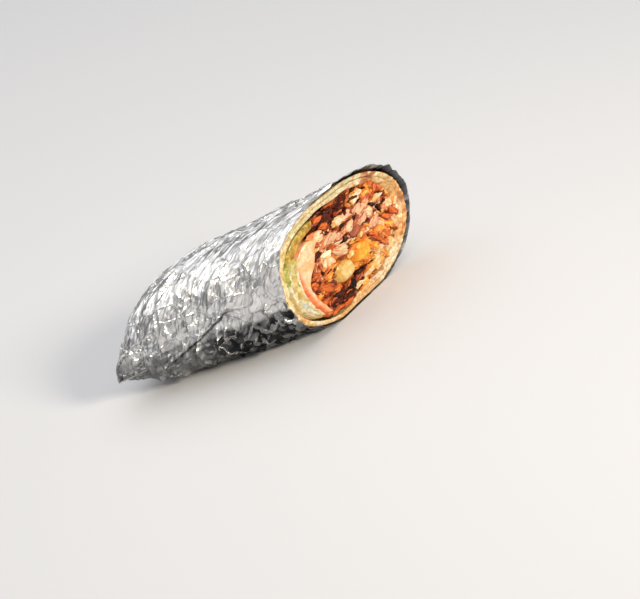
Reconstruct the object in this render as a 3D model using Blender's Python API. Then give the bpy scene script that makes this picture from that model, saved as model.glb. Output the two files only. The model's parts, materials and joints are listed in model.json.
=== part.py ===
"""Half a chicken shawarma wrap in foil, cut on the slant and lying on its side.

The wrap runs along X, with its folded tail at -X and its cut at +X, and it rests on a flat strip
of foil at Z = 0. Every piece is lofted through the same leaning sections: a section near the tail
leans like the tail's fold, and the last one is the knife's upright, slanting cut. So pieces that
stay apart in the section stay apart along the whole wrap. Lengths are in millimetres until place()
turns them into metres, and angles go round the section in degrees, from 0 at the back (+Y) over 90
at the top.
"""

import math

import bmesh
import bpy
from mathutils import Vector

MM = 0.001

# The wrap as a whole.
LENGTH = 103.0  # from the middle of the tail's fold to the middle of the cut
CUT_LEAN = 1.13  # how far the cut runs along the wrap for each millimetre across it
TAIL_LEAN = 0.57  # the same for the tail's fold
CUT_HALF_WIDTH = 30.4
TAIL_HALF_WIDTH = 21.5
WIDENING = 0.62  # exponent of the share of the length by which the width grows
CUT_HALF_HEIGHT = 29.4
BODY_HALF_HEIGHT = 24.0  # what the half height tapers to, before the tail's pinch
FOLD_HALF_HEIGHT = 2.2  # of the pinched tail itself
PINCH = 0.34  # share of the length over which the tail closes
TAIL_LIFT = 11.0  # how far the fold stands above the table
LIFT_SHARE = 0.28  # share of the length over which the underside comes down
LIFT_CURVE = 1.6  # exponent of that slope
FLAT_SHARE = 0.05  # share of the half height that the resting flat takes off the bottom
SQUARENESS = 2.1  # exponent of the section's superellipse
SHOULDER = 0.115  # how much the section stands out at its upper front corner
SHOULDER_TURN = 133.0
SHOULDER_SPREAD = 48.0

# The layers, counted inwards from the body's outline.
FOIL_WALL = 0.6
GAP = 0.35
BREAD_WALL = 2.0
BREAD_START = 112.0  # where the bread's outer end lies
BREAD_DIVE = 60.0  # degrees over which the second turn slips under the first
BREAD_TURN = 572.0  # degrees of bread in all
BREAD_END_CLEAR = 3.0  # degrees left free past the bread's inner end
BREAD_END_EASE = 16.0  # degrees over which the filling closes round that end

# The foil's relief. Each fold has a height, the length to a crease, creases round the body, a phase.
FOLDS = (
    (0.50, 17.0, 3, 0.0),
    (0.38, 26.0, -5, 0.3),
    (0.27, 33.0, 9, 0.1),
)
FOLDS_START = 0.06  # share of the length over which the folds rise from the tail's pinch
SMOOTH_BELOW = 0.87  # no folds where the body faces down more steeply than this sine
SMOOTH_EASE = 0.25
SEAM_STEP = 0.55  # the edge of the foil's outer lap, which runs aslant down the front
SEAM_TURN = 224.0
SEAM_SLOPE = -0.79  # degrees to the millimetre
SEAM_WIDTH = 5.0
SEAM_FADE = (20.0, 60.0)  # where the lap's step starts on the back, and over how many degrees

# The foil's ragged lip past the cut, which also flares away from the bread. Both are highest at LIP_TURN.
LIP_TURN = 66.0
LIP_LEAST = 0.4
LIP_MOST = 2.6
LIP_FLARE = 1.7
LIP_NOTCHES = (23.0, 57.0)  # degrees to a notch
LIP_RAGGED = 0.25  # share of the lip that the notches take

# Steps of the lofts.
FOIL_AROUND = 60
FOIL_ALONG = 25
BREAD_STEP = 11.0  # degrees
FILL_AROUND = 44
LAYER_AROUND = 12
INNER_ALONG = 11
INNER_START = 0.055  # share of the length where the foil's cavity begins
TAIL_CROWDING = 1.5  # exponent that draws the stations together near the tail
SHARP_FROM = 35.0  # degrees between faces at which an edge is shaded sharp

# The tomato slice: its skin is an arc, furthest forward at SKIN_MIDDLE, and it is thick above.
TOMATO_TOP = 17.0
TOMATO_FOOT = -20.0
SKIN_AT = -21.5
SKIN_MIDDLE = 1.0
SKIN_RADIUS = 42.0
TOMATO_ROUND = 6.0  # the slice's upper end curls in over this height
TOMATO_CURL = 2.6
TOMATO_THIN = 2.6
TOMATO_SWELL = 6.4
SWELL_FROM = -4.0
SWELL_OVER = 13.0

# The pickle slice lies against the bread above the salad.
PICKLE_TURNS = (113.0, 149.0)
PICKLE_DEPTH = 4.4
PICKLE_ENDS = (0.12, 0.88)  # part of a half sine that its depth follows
PICKLE_CLEAR = 3.0  # degrees that the chicken keeps from its ends
SALAD_TURNS = (152.0, 226.0)

# Each fry: its middle (y, z) in the cut, its two thicknesses, its turn and its length along the wrap.
FRIES = {
    "fry_pale": ((-2.8, -9.4), (8.0, 9.4), 8.0, 58.0),
    "fry_gold": ((6.2, -7.4), (6.6, 8.4), -14.0, 52.0),
    "fry_side": ((15.2, -6.2), (6.6, 7.8), 28.0, 46.0),
}
FRY_PROUD = 1.0  # how far a fry stands out of the cut
FRY_BEVEL = 0.9
CHANNEL_PAST = 8.0  # how much further the cutter of a fry's channel reaches

# The chicken, whose cut face is lumpy.
CHICKEN_MIDDLE = (4.0, 0.0)
CHICKEN_RINGS = (0.9, 0.72, 0.52, 0.3, 0.12)  # of that face, as shares of its outline
BROAD_LUMP = 0.95  # height of its broad lumps
FINE_LUMP = 0.55
CHICKEN_CLEAR = 0.7  # to the tomato and the pickle
SEARCH_STEP = 0.15
SEARCH_FROM = 3.0


def ease(value):
    """Smooth step of a value held between 0 and 1."""
    v = min(1.0, max(0.0, value))
    return v * v * (3 - 2 * v)


def crease(value):
    """A triangle wave from 0 to 1, whose corners are creases."""
    return abs((value % 1.0) - 0.5) * 2


def half_width(t):
    """Half the section's width at the share t of the length."""
    return TAIL_HALF_WIDTH + (CUT_HALF_WIDTH - TAIL_HALF_WIDTH) * t**WIDENING


def half_height(t):
    """Half the section's height at t, closing to the tail's fold."""
    body = BODY_HALF_HEIGHT + (CUT_HALF_HEIGHT - BODY_HALF_HEIGHT) * t
    closing = math.sqrt(1 - max(0.0, 1 - t / PINCH) ** 2)
    return FOLD_HALF_HEIGHT + (body - FOLD_HALF_HEIGHT) * closing


def centre_height(t):
    """Height of the section's centre above the table."""
    lift = TAIL_LIFT * max(0.0, 1 - t / LIFT_SHARE) ** LIFT_CURVE
    return lift + half_height(t) * (1 - FLAT_SHARE)


def outline(t, degrees):
    """Distance from the section's centre to the body's outline, with the flat it rests on."""
    angle = math.radians(degrees)
    c, s = abs(math.cos(angle)), abs(math.sin(angle))
    across, up = c / half_width(t), s / half_height(t)
    radius = (across**SQUARENESS + up**SQUARENESS) ** (-1 / SQUARENESS)
    off_shoulder = abs((degrees - SHOULDER_TURN + 180) % 360 - 180)
    radius *= 1 + SHOULDER * ease(1 - off_shoulder / SHOULDER_SPREAD) * ease(t / PINCH)
    if math.sin(angle) < 0:
        radius = min(radius, half_height(t) * (1 - FLAT_SHARE) / s)
    return radius


def place(t, degrees, radius, beyond=0.0):
    """Point in metres: share t of the length, an angle and radius in the section, and a push along X."""
    angle = math.radians(degrees)
    y = radius * math.cos(angle)
    z = centre_height(t) + radius * math.sin(angle)
    lean = TAIL_LEAN + (CUT_LEAN - TAIL_LEAN) * t
    return Vector((t * LENGTH + lean * y + beyond, y, z)) * MM


def stations(first, count):
    """Shares of the length from first to 1, closer together near the tail."""
    return [first + (1 - first) * (i / count) ** TAIL_CROWDING for i in range(count + 1)]


# The layers inside the foil share their stations, so that their facets match, and each layer
# starts one station after the layer round it.
FOIL_STATIONS = stations(0.0, FOIL_ALONG)
CAVITY_STATIONS = stations(INNER_START, INNER_ALONG)
BREAD_STATIONS = CAVITY_STATIONS[1:]
FILL_STATIONS = CAVITY_STATIONS[2:]


def wrinkle(t, degrees):
    """Height of the foil's relief above the body's outline. It dies out on the resting flat."""
    along, turn = t * LENGTH, degrees / 360
    relief = 0.0
    for height, pitch, count, phase in FOLDS:
        relief += height * crease(along / pitch + count * turn + phase)
    seam = SEAM_TURN + SEAM_SLOPE * along
    fade_from, fade_over = SEAM_FADE
    relief += SEAM_STEP * ease((seam - degrees) / SEAM_WIDTH) * ease((degrees - fade_from) / fade_over)
    below = -math.sin(math.radians(degrees))
    smooth = ease((below - SMOOTH_BELOW + SMOOTH_EASE) / SMOOTH_EASE)
    return relief * (1 - smooth) * ease(t / FOLDS_START)


def towards_lip(degrees):
    """1 where the foil's lip is highest, 0 on the far side."""
    return max(0.0, math.cos(math.radians(degrees - LIP_TURN)))


def lip(degrees):
    """How far the foil's edge stands out past the cut."""
    first, second = LIP_NOTCHES
    ragged = 1 - LIP_RAGGED * (1 - crease(degrees / first) * crease(degrees / second))
    return LIP_LEAST + (LIP_MOST - LIP_LEAST) * towards_lip(degrees) ** 2 * ragged


def place_foil(t, degrees, radius):
    """Like place(), with the lip's reach and flare on the last section."""
    if t < 1.0:
        return place(t, degrees, radius)
    flare = LIP_FLARE * towards_lip(degrees) ** 2
    return place(t, degrees, radius + flare, lip(degrees))


def double_layer(degrees):
    """1 where the bread lies double at this angle, 0 where it is single, eased between."""
    back = (BREAD_START - degrees) % 360  # degrees of turn since the bread's outer end
    end = BREAD_TURN - 360 + BREAD_END_CLEAR
    if back <= end:
        return 1.0
    past_end = 1 - ease((back - end) / BREAD_END_EASE)
    diving = ease((back - 360 + BREAD_DIVE) / BREAD_DIVE)
    return max(past_end, diving)


def room(t, degrees):
    """Distance from the section's centre to the filling's outer boundary."""
    bread = BREAD_WALL + (BREAD_WALL + GAP) * double_layer(degrees)
    return outline(t, degrees) - FOIL_WALL - GAP - bread - GAP


def place_section(t, y, z, beyond=0.0):
    """Like place(), for a point (y, z) of the cut's filling, shrunk to the room inside the bread at t."""
    degrees = math.degrees(math.atan2(z, y))
    share = math.hypot(y, z) / room(1.0, degrees)
    return place(t, degrees, share * room(t, degrees), beyond)


def new_object(name, bm, material, collection):
    """Turns a bmesh into a closed object with its normals out."""
    bmesh.ops.remove_doubles(bm, verts=bm.verts, dist=1e-6)
    bmesh.ops.recalc_face_normals(bm, faces=bm.faces)
    mesh = bpy.data.meshes.new(name)
    bm.to_mesh(mesh)
    bm.free()
    mesh.shade_smooth()
    mesh.set_sharp_from_angle(angle=math.radians(SHARP_FROM))
    mesh.materials.append(material)
    obj = bpy.data.objects.new(name, mesh)
    collection.objects.link(obj)
    return obj


def bridge(bm, one, other):
    """Quads between two closed rings of the same count."""
    for i in range(len(one)):
        j = (i + 1) % len(one)
        bm.faces.new((one[i], one[j], other[j], other[i]))


def strip_cap(bm, ring):
    """Closes a ring whose second half runs back beside its first, with quads across it."""
    last = len(ring) - 1
    for i in range(len(ring) // 2 - 1):
        bm.faces.new((ring[i], ring[i + 1], ring[last - i - 1], ring[last - i]))


def loft(bm, sections):
    """Bridges a list of rings of points, and returns their vertices ring by ring."""
    rings = [[bm.verts.new(p) for p in points] for points in sections]
    for one, other in zip(rings, rings[1:]):
        bridge(bm, one, other)
    return rings


def around(count):
    """Angles of a full turn, with as many above the middle as below."""
    return [(i + 0.5) * 360 / count for i in range(count)]


def between(first, last, count):
    """Evenly spaced values from first to last, both included."""
    return [first + (last - first) * i / count for i in range(count + 1)]


def build_foil(material):
    """The foil: a wrinkled sleeve with a pinched tail, open at the cut, round a smooth cavity."""
    bm = bmesh.new()
    turns = around(FOIL_AROUND)
    outside = [[place_foil(t, a, outline(t, a) + wrinkle(t, a)) for a in turns] for t in FOIL_STATIONS]
    inner_stations = [*CAVITY_STATIONS[:-1], FOIL_STATIONS[-2], 1.0]
    inside = [[place_foil(t, a, outline(t, a) - FOIL_WALL) for a in turns] for t in inner_stations]
    outer = loft(bm, outside)
    inner = loft(bm, inside)
    strip_cap(bm, outer[0])
    strip_cap(bm, inner[0])
    bridge(bm, outer[-1], inner[-1])
    return new_object("foil_wrap", bm, material, PARTS)


def build_bread(material):
    """The bread: one flat sheet rolled a turn and a half, so that it lies double on one side."""
    bm = bmesh.new()
    turned = between(0.0, BREAD_TURN, round(BREAD_TURN / BREAD_STEP))
    sections = []
    for t in BREAD_STATIONS:
        outer, inner = [], []
        for turn in turned:
            degrees = BREAD_START - turn
            dive = (BREAD_WALL + GAP) * ease((turn - 360 + BREAD_DIVE) / BREAD_DIVE)
            radius = outline(t, degrees) - FOIL_WALL - GAP - dive
            outer.append(place(t, degrees, radius))
            inner.append(place(t, degrees, radius - BREAD_WALL))
        sections.append(outer + inner[::-1])
    rings = loft(bm, sections)
    strip_cap(bm, rings[0])
    strip_cap(bm, rings[-1])
    return new_object("flatbread", bm, material, PARTS)


def tomato_skin(z):
    """Y of the tomato's skin at height z, held within the slice."""
    height = max(TOMATO_FOOT, min(TOMATO_TOP, z))
    bow = SKIN_RADIUS - math.sqrt(SKIN_RADIUS**2 - (height - SKIN_MIDDLE) ** 2)
    curl = TOMATO_CURL * ease((height - TOMATO_TOP + TOMATO_ROUND) / TOMATO_ROUND)
    return SKIN_AT + bow + curl


def tomato_flesh(z):
    """Y of the tomato's inner side at height z: thick above, thin below."""
    return tomato_skin(z) + TOMATO_THIN + TOMATO_SWELL * ease((z - SWELL_FROM) / SWELL_OVER)


def inwards(degrees, depth):
    """Point (y, z) of the cut that lies a depth inside the filling's boundary."""
    radius = room(1.0, degrees) - depth
    angle = math.radians(degrees)
    return radius * math.cos(angle), radius * math.sin(angle)


def build_layer(name, outer, inner, material):
    """A layer along the wrap: the section between two rows of (y, z) points that run side by side."""
    bm = bmesh.new()
    points = outer + inner[::-1]
    sections = [[place_section(t, y, z) for y, z in points] for t in FILL_STATIONS]
    rings = loft(bm, sections)
    strip_cap(bm, rings[0])
    strip_cap(bm, rings[-1])
    return new_object(name, bm, material, PARTS)


def build_tomato(material):
    """The tomato slice, standing on its edge in front of the chicken."""
    heights = between(TOMATO_FOOT, TOMATO_TOP, LAYER_AROUND)
    skin = [(tomato_skin(z), z) for z in heights]
    flesh = [(tomato_flesh(z), z) for z in heights]
    return build_layer("tomato_slice", skin, flesh, material)


def build_salad(material):
    """Shredded lettuce and cabbage: what lies between the bread and the tomato's skin."""
    outer = [inwards(a, 0.0) for a in between(*SALAD_TURNS, LAYER_AROUND)]
    inner = [(tomato_skin(z) - GAP, z) for _, z in outer]
    return build_layer("salad", outer, inner, material)


def build_pickle(material):
    """A slice of pickled cucumber against the bread, above the salad and the tomato."""
    first, last = PICKLE_ENDS
    turns = between(*PICKLE_TURNS, LAYER_AROUND)
    shares = between(first, last, LAYER_AROUND)
    outer = [inwards(a, 0.0) for a in turns]
    inner = []
    for turn, share in zip(turns, shares):
        y, z = inwards(turn, PICKLE_DEPTH * math.sin(math.pi * share))
        over_tomato = z < TOMATO_TOP + GAP
        inner.append((min(y, tomato_skin(z) - GAP), z) if over_tomato else (y, z))
    return build_layer("pickle_slice", outer, inner, material)


def fry_box(name, material, collection, grow=0.0, past=0.0, bevel=0.0):
    """A stick along the wrap with its end sliced by the knife. grow and past enlarge it to a cutter."""
    (y, z), (wide, tall), turn, length = FRIES[name]
    twist = math.radians(turn)
    height = centre_height(1.0) + z
    front = LENGTH + CUT_LEAN * y
    bm = bmesh.new()
    bmesh.ops.create_cube(bm, size=1.0)
    for v in bm.verts:
        across, up = v.co.y * (wide + 2 * grow), v.co.z * (tall + 2 * grow)
        aside = across * math.cos(twist) - up * math.sin(twist)
        sliced = front + CUT_LEAN * aside + FRY_PROUD + past
        v.co.y = y + aside
        v.co.z = height + across * math.sin(twist) + up * math.cos(twist)
        v.co.x = sliced if v.co.x > 0 else front - length - grow
    bmesh.ops.scale(bm, vec=(MM, MM, MM), verts=bm.verts)
    if bevel:
        long_edges = [e for e in bm.edges if e.calc_length() > length * MM / 2]
        bmesh.ops.bevel(
            bm, geom=long_edges, offset=bevel * MM, offset_type="OFFSET", affect="EDGES", segments=2,
            profile=0.5, material=-1,
        )
    return new_object(name, bm, material, collection)


def build_fry(name, material):
    """One fried potato stick."""
    return fry_box(name, material, PARTS, bevel=FRY_BEVEL)


def lump(y, z):
    """Relief of the chopped chicken on the cut: crossed waves of 9 mm and slanting ones of 4 mm."""
    broad = math.sin(0.72 * y + 1.3 * math.sin(0.41 * z)) * math.sin(0.63 * z + 0.8)
    fine = math.sin(1.31 * y + 0.9 * z + 2.0)
    return BROAD_LUMP * broad + FINE_LUMP * fine


def free_for_chicken(y, z):
    """Whether the chicken may fill the point (y, z) of the cut."""
    turn = math.degrees(math.atan2(z, y)) % 360
    limit = room(1.0, turn)
    first, last = PICKLE_TURNS
    if first - PICKLE_CLEAR < turn < last + PICKLE_CLEAR:
        limit -= PICKLE_DEPTH + CHICKEN_CLEAR
    return math.hypot(y, z) < limit and y > tomato_flesh(z) + CHICKEN_CLEAR


def chicken_edge(degrees):
    """Last free point (y, z) of the cut on the ray that leaves the chicken's middle at this angle."""
    y0, z0 = CHICKEN_MIDDLE
    c, s = math.cos(math.radians(degrees)), math.sin(math.radians(degrees))
    radius = SEARCH_FROM
    while free_for_chicken(y0 + (radius + SEARCH_STEP) * c, z0 + (radius + SEARCH_STEP) * s):
        radius += SEARCH_STEP
    return y0 + radius * c, z0 + radius * s


def cut_channel(chicken, name):
    """Takes a fry's channel out of the chicken, with a gap round the fry."""
    cutter = fry_box(name, chicken.data.materials[0], CUTTERS, grow=GAP, past=CHANNEL_PAST)
    cutter.name = name + "_channel"
    cutter.hide_render = True
    cutter.display_type = "WIRE"
    channel = chicken.modifiers.new(cutter.name, "BOOLEAN")
    channel.operation = "DIFFERENCE"
    channel.object = cutter


def build_chicken(material):
    """The chopped chicken: one solid out to its uneven face, with a channel for each fry."""
    bm = bmesh.new()
    edge = [chicken_edge(a) for a in around(FILL_AROUND)]
    sections = [[place_section(t, y, z) for y, z in edge] for t in FILL_STATIONS]
    y0, z0 = CHICKEN_MIDDLE
    for share in CHICKEN_RINGS:
        inner = [(y0 + (y - y0) * share, z0 + (z - z0) * share) for y, z in edge]
        sections.append([place_section(1.0, y, z, lump(y, z)) for y, z in inner])
    rings = loft(bm, sections)
    caps = [bm.faces.new(rings[0]), bm.faces.new(rings[-1])]
    bmesh.ops.triangulate(bm, faces=caps)
    chicken = new_object("chicken_filling", bm, material, PARTS)
    for name in FRIES:
        cut_channel(chicken, name)
    return chicken


def finish(name, colour, roughness, metallic=0.0):
    """A Principled material."""
    material = bpy.data.materials.new(name)
    material.use_nodes = True
    shader = material.node_tree.nodes["Principled BSDF"]
    shader.inputs["Base Color"].default_value = (*colour, 1.0)
    shader.inputs["Roughness"].default_value = roughness
    shader.inputs["Metallic"].default_value = metallic
    return material


def new_collection(name):
    """A collection in the scene."""
    collection = bpy.data.collections.new(name)
    bpy.context.scene.collection.children.link(collection)
    return collection


def centre_on_footprint(objects):
    """Moves the meshes so that the origin is the middle of the object's box, on the table."""
    corners = [v.co for o in objects for v in o.data.vertices]
    middle_x = (min(c.x for c in corners) + max(c.x for c in corners)) / 2
    middle_y = (min(c.y for c in corners) + max(c.y for c in corners)) / 2
    for o in [*objects, *CUTTERS.objects]:
        for v in o.data.vertices:
            v.co -= Vector((middle_x, middle_y, 0.0))


for old in list(bpy.data.objects):
    bpy.data.objects.remove(old)
PARTS = new_collection("shawarma_wrap_half")
CUTTERS = new_collection("cutters")

potato = finish("potato", (0.80, 0.60, 0.20), 0.5)
nodes = [
    build_foil(finish("foil", (0.78, 0.78, 0.79), 0.25, 1.0)),
    build_bread(finish("bread", (0.78, 0.64, 0.40), 0.7)),
    build_tomato(finish("tomato", (0.80, 0.36, 0.20), 0.4)),
    build_salad(finish("salad", (0.70, 0.72, 0.40), 0.5)),
    build_pickle(finish("pickle", (0.42, 0.40, 0.08), 0.4)),
    build_chicken(finish("chicken", (0.62, 0.26, 0.12), 0.5)),
    *[build_fry(name, potato) for name in FRIES],
]
centre_on_footprint(nodes)
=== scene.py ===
"""Looks of half a chicken shawarma wrap: crumpled foil, rolled flatbread and the cut filling.

Every piece is worked out in millimetres in the wrap's own leaning sections, which WrapBody turns
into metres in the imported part's frame. Angles go round a section in degrees, from 0 at the back
over 90 at the top. The knife's cut is the last section.
"""

from __future__ import annotations

import json
import logging
import math
import random
from dataclasses import dataclass, field
from enum import Enum
from typing import Callable, Sequence

import bmesh
import bpy
import numpy as np
from mathutils import Matrix, Vector, noise

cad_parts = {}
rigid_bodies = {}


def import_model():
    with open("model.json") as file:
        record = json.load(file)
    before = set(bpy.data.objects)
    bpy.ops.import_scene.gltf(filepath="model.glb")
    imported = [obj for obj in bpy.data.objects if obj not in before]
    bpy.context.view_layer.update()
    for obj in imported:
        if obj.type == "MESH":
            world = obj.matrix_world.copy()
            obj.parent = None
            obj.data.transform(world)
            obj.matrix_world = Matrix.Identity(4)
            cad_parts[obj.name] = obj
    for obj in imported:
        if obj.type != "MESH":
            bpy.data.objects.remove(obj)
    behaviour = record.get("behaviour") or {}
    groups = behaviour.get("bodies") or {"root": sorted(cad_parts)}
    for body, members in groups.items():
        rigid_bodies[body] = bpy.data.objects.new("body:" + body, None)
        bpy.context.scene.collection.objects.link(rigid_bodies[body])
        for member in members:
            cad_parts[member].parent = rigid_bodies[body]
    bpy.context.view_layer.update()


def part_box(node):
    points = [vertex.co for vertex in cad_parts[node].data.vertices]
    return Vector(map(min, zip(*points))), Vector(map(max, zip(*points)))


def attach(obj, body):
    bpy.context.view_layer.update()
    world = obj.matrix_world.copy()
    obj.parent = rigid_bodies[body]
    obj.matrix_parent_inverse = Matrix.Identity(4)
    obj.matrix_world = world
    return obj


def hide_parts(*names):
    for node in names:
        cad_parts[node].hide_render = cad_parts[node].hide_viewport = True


LOG = logging.getLogger("shawarma")
MM = 0.001
TINY = 1e-4
IMAGE_WIDTH = 640
CROWDING = 2.4  # exponent that draws a strip's rows together towards the cut
FLAT = 180.0  # degrees between faces from which no edge is shaded sharp

Colour = tuple[float, float, float, float]
Triple = tuple[float, float, float]
Pair = tuple[float, float]  # such as a span, a point of the section or a rise's start and distance
Tones = tuple[Colour, Colour, Colour]
Place = Callable[[float, float], Vector]
Mesh = bmesh.types.BMesh
Layer = bmesh.types.BMLayerItem
Line = Callable[[float], Pair]
Paint = Callable[[float, float, float], Colour]


def ease(value: float) -> float:
    """Smooth step of a value held between 0 and 1."""
    v = min(1.0, max(0.0, value))
    return v * v * (3 - 2 * v)


def rise(value: float, over: Pair) -> float:
    """Smooth step of a value from a start over a distance."""
    return ease((value - over[0]) / over[1])


def lerp(low: float, high: float, share: float) -> float:
    """Value at a share of the way from low to high."""
    return low + (high - low) * share


def shade(red: int, green: int, blue: int) -> Colour:
    """Linear colour of a display colour given in 0 to 255."""
    linear = [(v / 255 / 12.92) if v < 11 else ((v / 255 + 0.055) / 1.055) ** 2.4 for v in (red, green, blue)]
    return (*linear, 1.0)


def bumps(y: float, z: float, scale: float, seed: float = 0.0) -> float:
    """Noise from about -1 to 1 at a point of the section.

    Args:
        y: Place across the section in millimetres.
        z: Height in the section in millimetres.
        scale: Bumps to the millimetre.
        seed: Picks another pattern.

    Returns:
        The noise's value.
    """
    return noise.noise(Vector((y * scale, z * scale, seed)))


@dataclass(frozen=True)
class Mottle:
    """Soft random patches over a section."""

    scale: float
    seed: float
    contrast: float
    level: float = 0.5

    def share(self, y: float, z: float) -> float:
        """How much of a patch lies at a point, from 0 to 1."""
        return ease(self.level + self.contrast * bumps(y, z, self.scale, self.seed))


@dataclass(frozen=True)
class Wave:
    """Soft random heights along a line or over a section."""

    height: float
    scale: float
    seed: float

    def at(self, y: float, z: float) -> float:
        """Height of the wave at a point."""
        return self.height * bumps(y, z, self.scale, self.seed)


def waved(level: float, waves: Sequence[Wave], y: float, z: float = 0.0) -> float:
    """Sum of waves over a level."""
    return sum((wave.at(y, z) for wave in waves), level)


@dataclass(frozen=True)
class WrapBody:
    """The wrap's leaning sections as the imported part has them, in millimetres."""

    origin: Vector
    length: float = 103.0
    cut_lean: float = 1.13
    tail_lean: float = 0.57
    cut_half_width: float = 30.4
    tail_half_width: float = 21.5
    widening: float = 0.62
    cut_half_height: float = 29.4
    body_half_height: float = 24.0
    fold_half_height: float = 2.2
    pinch: float = 0.34
    tail_lift: float = 11.0
    lift_share: float = 0.28
    lift_curve: float = 1.6
    flat_share: float = 0.05
    squareness: float = 2.1
    shoulder: float = 0.115
    shoulder_turn: float = 133.0
    shoulder_spread: float = 48.0
    foil_wall: float = 0.6
    gap: float = 0.35
    bread_wall: float = 2.0
    bread_start: float = 112.0
    bread_dive: float = 60.0
    bread_turn: float = 572.0
    bread_end_clear: float = 3.0
    bread_end_ease: float = 16.0

    @classmethod
    def in_frame(cls) -> WrapBody:
        """Finds the sections' origin from the pale fry, whose place in the cut is known.

        Returns:
            The body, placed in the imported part's frame.
        """
        fry_y, fry_length = -2.8, 58.0
        low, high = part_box("fry_pale")
        fry_back = cls.length + cls.cut_lean * fry_y - fry_length
        middle_y = (low[1] + high[1]) / 2
        return cls(origin=Vector((low[0] - fry_back * MM, middle_y - fry_y * MM, 0.0)))

    def half_width(self, t: float) -> float:
        """Half the section's width at the share t of the length."""
        return lerp(self.tail_half_width, self.cut_half_width, t**self.widening)

    def half_height(self, t: float) -> float:
        """Half the section's height at t.

        Args:
            t: Share of the length.

        Returns:
            The half height.
        """
        body = lerp(self.body_half_height, self.cut_half_height, t)
        closing = math.sqrt(1 - max(0.0, 1 - t / self.pinch) ** 2)
        return lerp(self.fold_half_height, body, closing)

    def centre_height(self, t: float) -> float:
        """Height of the section's centre above the table."""
        lift = self.tail_lift * max(0.0, 1 - t / self.lift_share) ** self.lift_curve
        return lift + self.half_height(t) * (1 - self.flat_share)

    def outline(self, t: float, degrees: float) -> float:
        """Distance from the section's centre to the body's outline.

        Args:
            t: Share of the length.
            degrees: Angle in degrees.

        Returns:
            The distance.
        """
        angle = math.radians(degrees)
        c, s = abs(math.cos(angle)), abs(math.sin(angle))
        across, up = c / self.half_width(t), s / self.half_height(t)
        radius = (across**self.squareness + up**self.squareness) ** (-1 / self.squareness)
        off_shoulder = abs((degrees - self.shoulder_turn + 180) % 360 - 180)
        radius *= 1 + self.shoulder * ease(1 - off_shoulder / self.shoulder_spread) * ease(t / self.pinch)
        if math.sin(angle) < 0:
            radius = min(radius, self.half_height(t) * (1 - self.flat_share) / s)
        return radius

    def at(self, t: float, y: float, z: float, beyond: float = 0.0) -> Vector:
        """Point in the frame's metres: a section's share t, its point (y, z) and a push along X.

        Args:
            t: Share of the length.
            y: Place across the section.
            z: Height in the section.
            beyond: Push along X.

        Returns:
            The point.
        """
        lean = lerp(self.tail_lean, self.cut_lean, t)
        along = t * self.length + lean * y + beyond
        return self.origin + Vector((along, y, self.centre_height(t) + z)) * MM

    def place(self, t: float, degrees: float, radius: float, beyond: float = 0.0) -> Vector:
        """Like at(), for an angle and a radius in the section."""
        angle = math.radians(degrees)
        return self.at(t, radius * math.cos(angle), radius * math.sin(angle), beyond)

    def double_layer(self, degrees: float) -> float:
        """1 where the bread lies double at this angle, 0 where it is single.

        Args:
            degrees: Angle in degrees.

        Returns:
            The share of a second layer.
        """
        back = (self.bread_start - degrees) % 360
        end = self.bread_turn - 360 + self.bread_end_clear
        if back <= end:
            return 1.0
        past_end = 1 - ease((back - end) / self.bread_end_ease)
        return max(past_end, ease((back - 360 + self.bread_dive) / self.bread_dive))

    def room(self, t: float, degrees: float) -> float:
        """Distance from the section's centre to the bread's inner side."""
        bread = self.bread_wall + (self.bread_wall + self.gap) * self.double_layer(degrees)
        return self.outline(t, degrees) - self.foil_wall - 2 * self.gap - bread

    def filling(self, y: float, z: float, back: float) -> Vector:
        """Point of the filling in the frame's metres.

        Args:
            y: Place across the cut in millimetres.
            z: Height above the cut's centre in millimetres.
            back: Distance behind the cut along the wrap. A negative one stands out of the cut.

        Returns:
            The point, drawn in to the room that the bread leaves there.
        """
        t = 1.0 - max(0.0, back) / self.length
        degrees = math.degrees(math.atan2(z, y))
        share = self.room(t, degrees) / self.room(1.0, degrees)
        return self.at(t, y * share, z * share, max(0.0, -back))


class Field:
    """A shader value that Python's operators work on, each adding a Math node."""

    def __init__(self, graph: Nodes, socket: bpy.types.NodeSocket) -> None:
        """Wraps an output socket of a node tree."""
        self.graph = graph
        self.socket = socket

    def _math(self, operation: str, *values: Field | float) -> Field:
        """Adds a Math node for an operation on these values."""
        return self.graph.node("ShaderNodeMath", {"operation": operation}, dict(enumerate(values)))

    def __add__(self, other: Field | float) -> Field:
        """Sum."""
        return self._math("ADD", self, other)

    def __sub__(self, other: Field | float) -> Field:
        """Difference."""
        return self._math("SUBTRACT", self, other)

    def __rsub__(self, other: float) -> Field:
        """Difference from a number."""
        return self._math("SUBTRACT", other, self)

    def __mul__(self, other: Field | float) -> Field:
        """Product."""
        return self._math("MULTIPLY", self, other)

    def __abs__(self) -> Field:
        """Absolute value."""
        return self._math("ABSOLUTE", self)

    __radd__ = __add__
    __rmul__ = __mul__

    def step(self, low: float, high: float) -> Field:
        """Eases from 0 at low to 1 at high. High may be the smaller one.

        Args:
            low: Where it starts.
            high: Where it ends.

        Returns:
            The eased value.
        """
        settings = {"interpolation_type": "SMOOTHSTEP"}
        if low < high:
            return self.graph.node("ShaderNodeMapRange", settings, {0: self, 1: low, 2: high})
        return 1.0 - self.graph.node("ShaderNodeMapRange", settings, {0: self, 1: high, 2: low})


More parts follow.
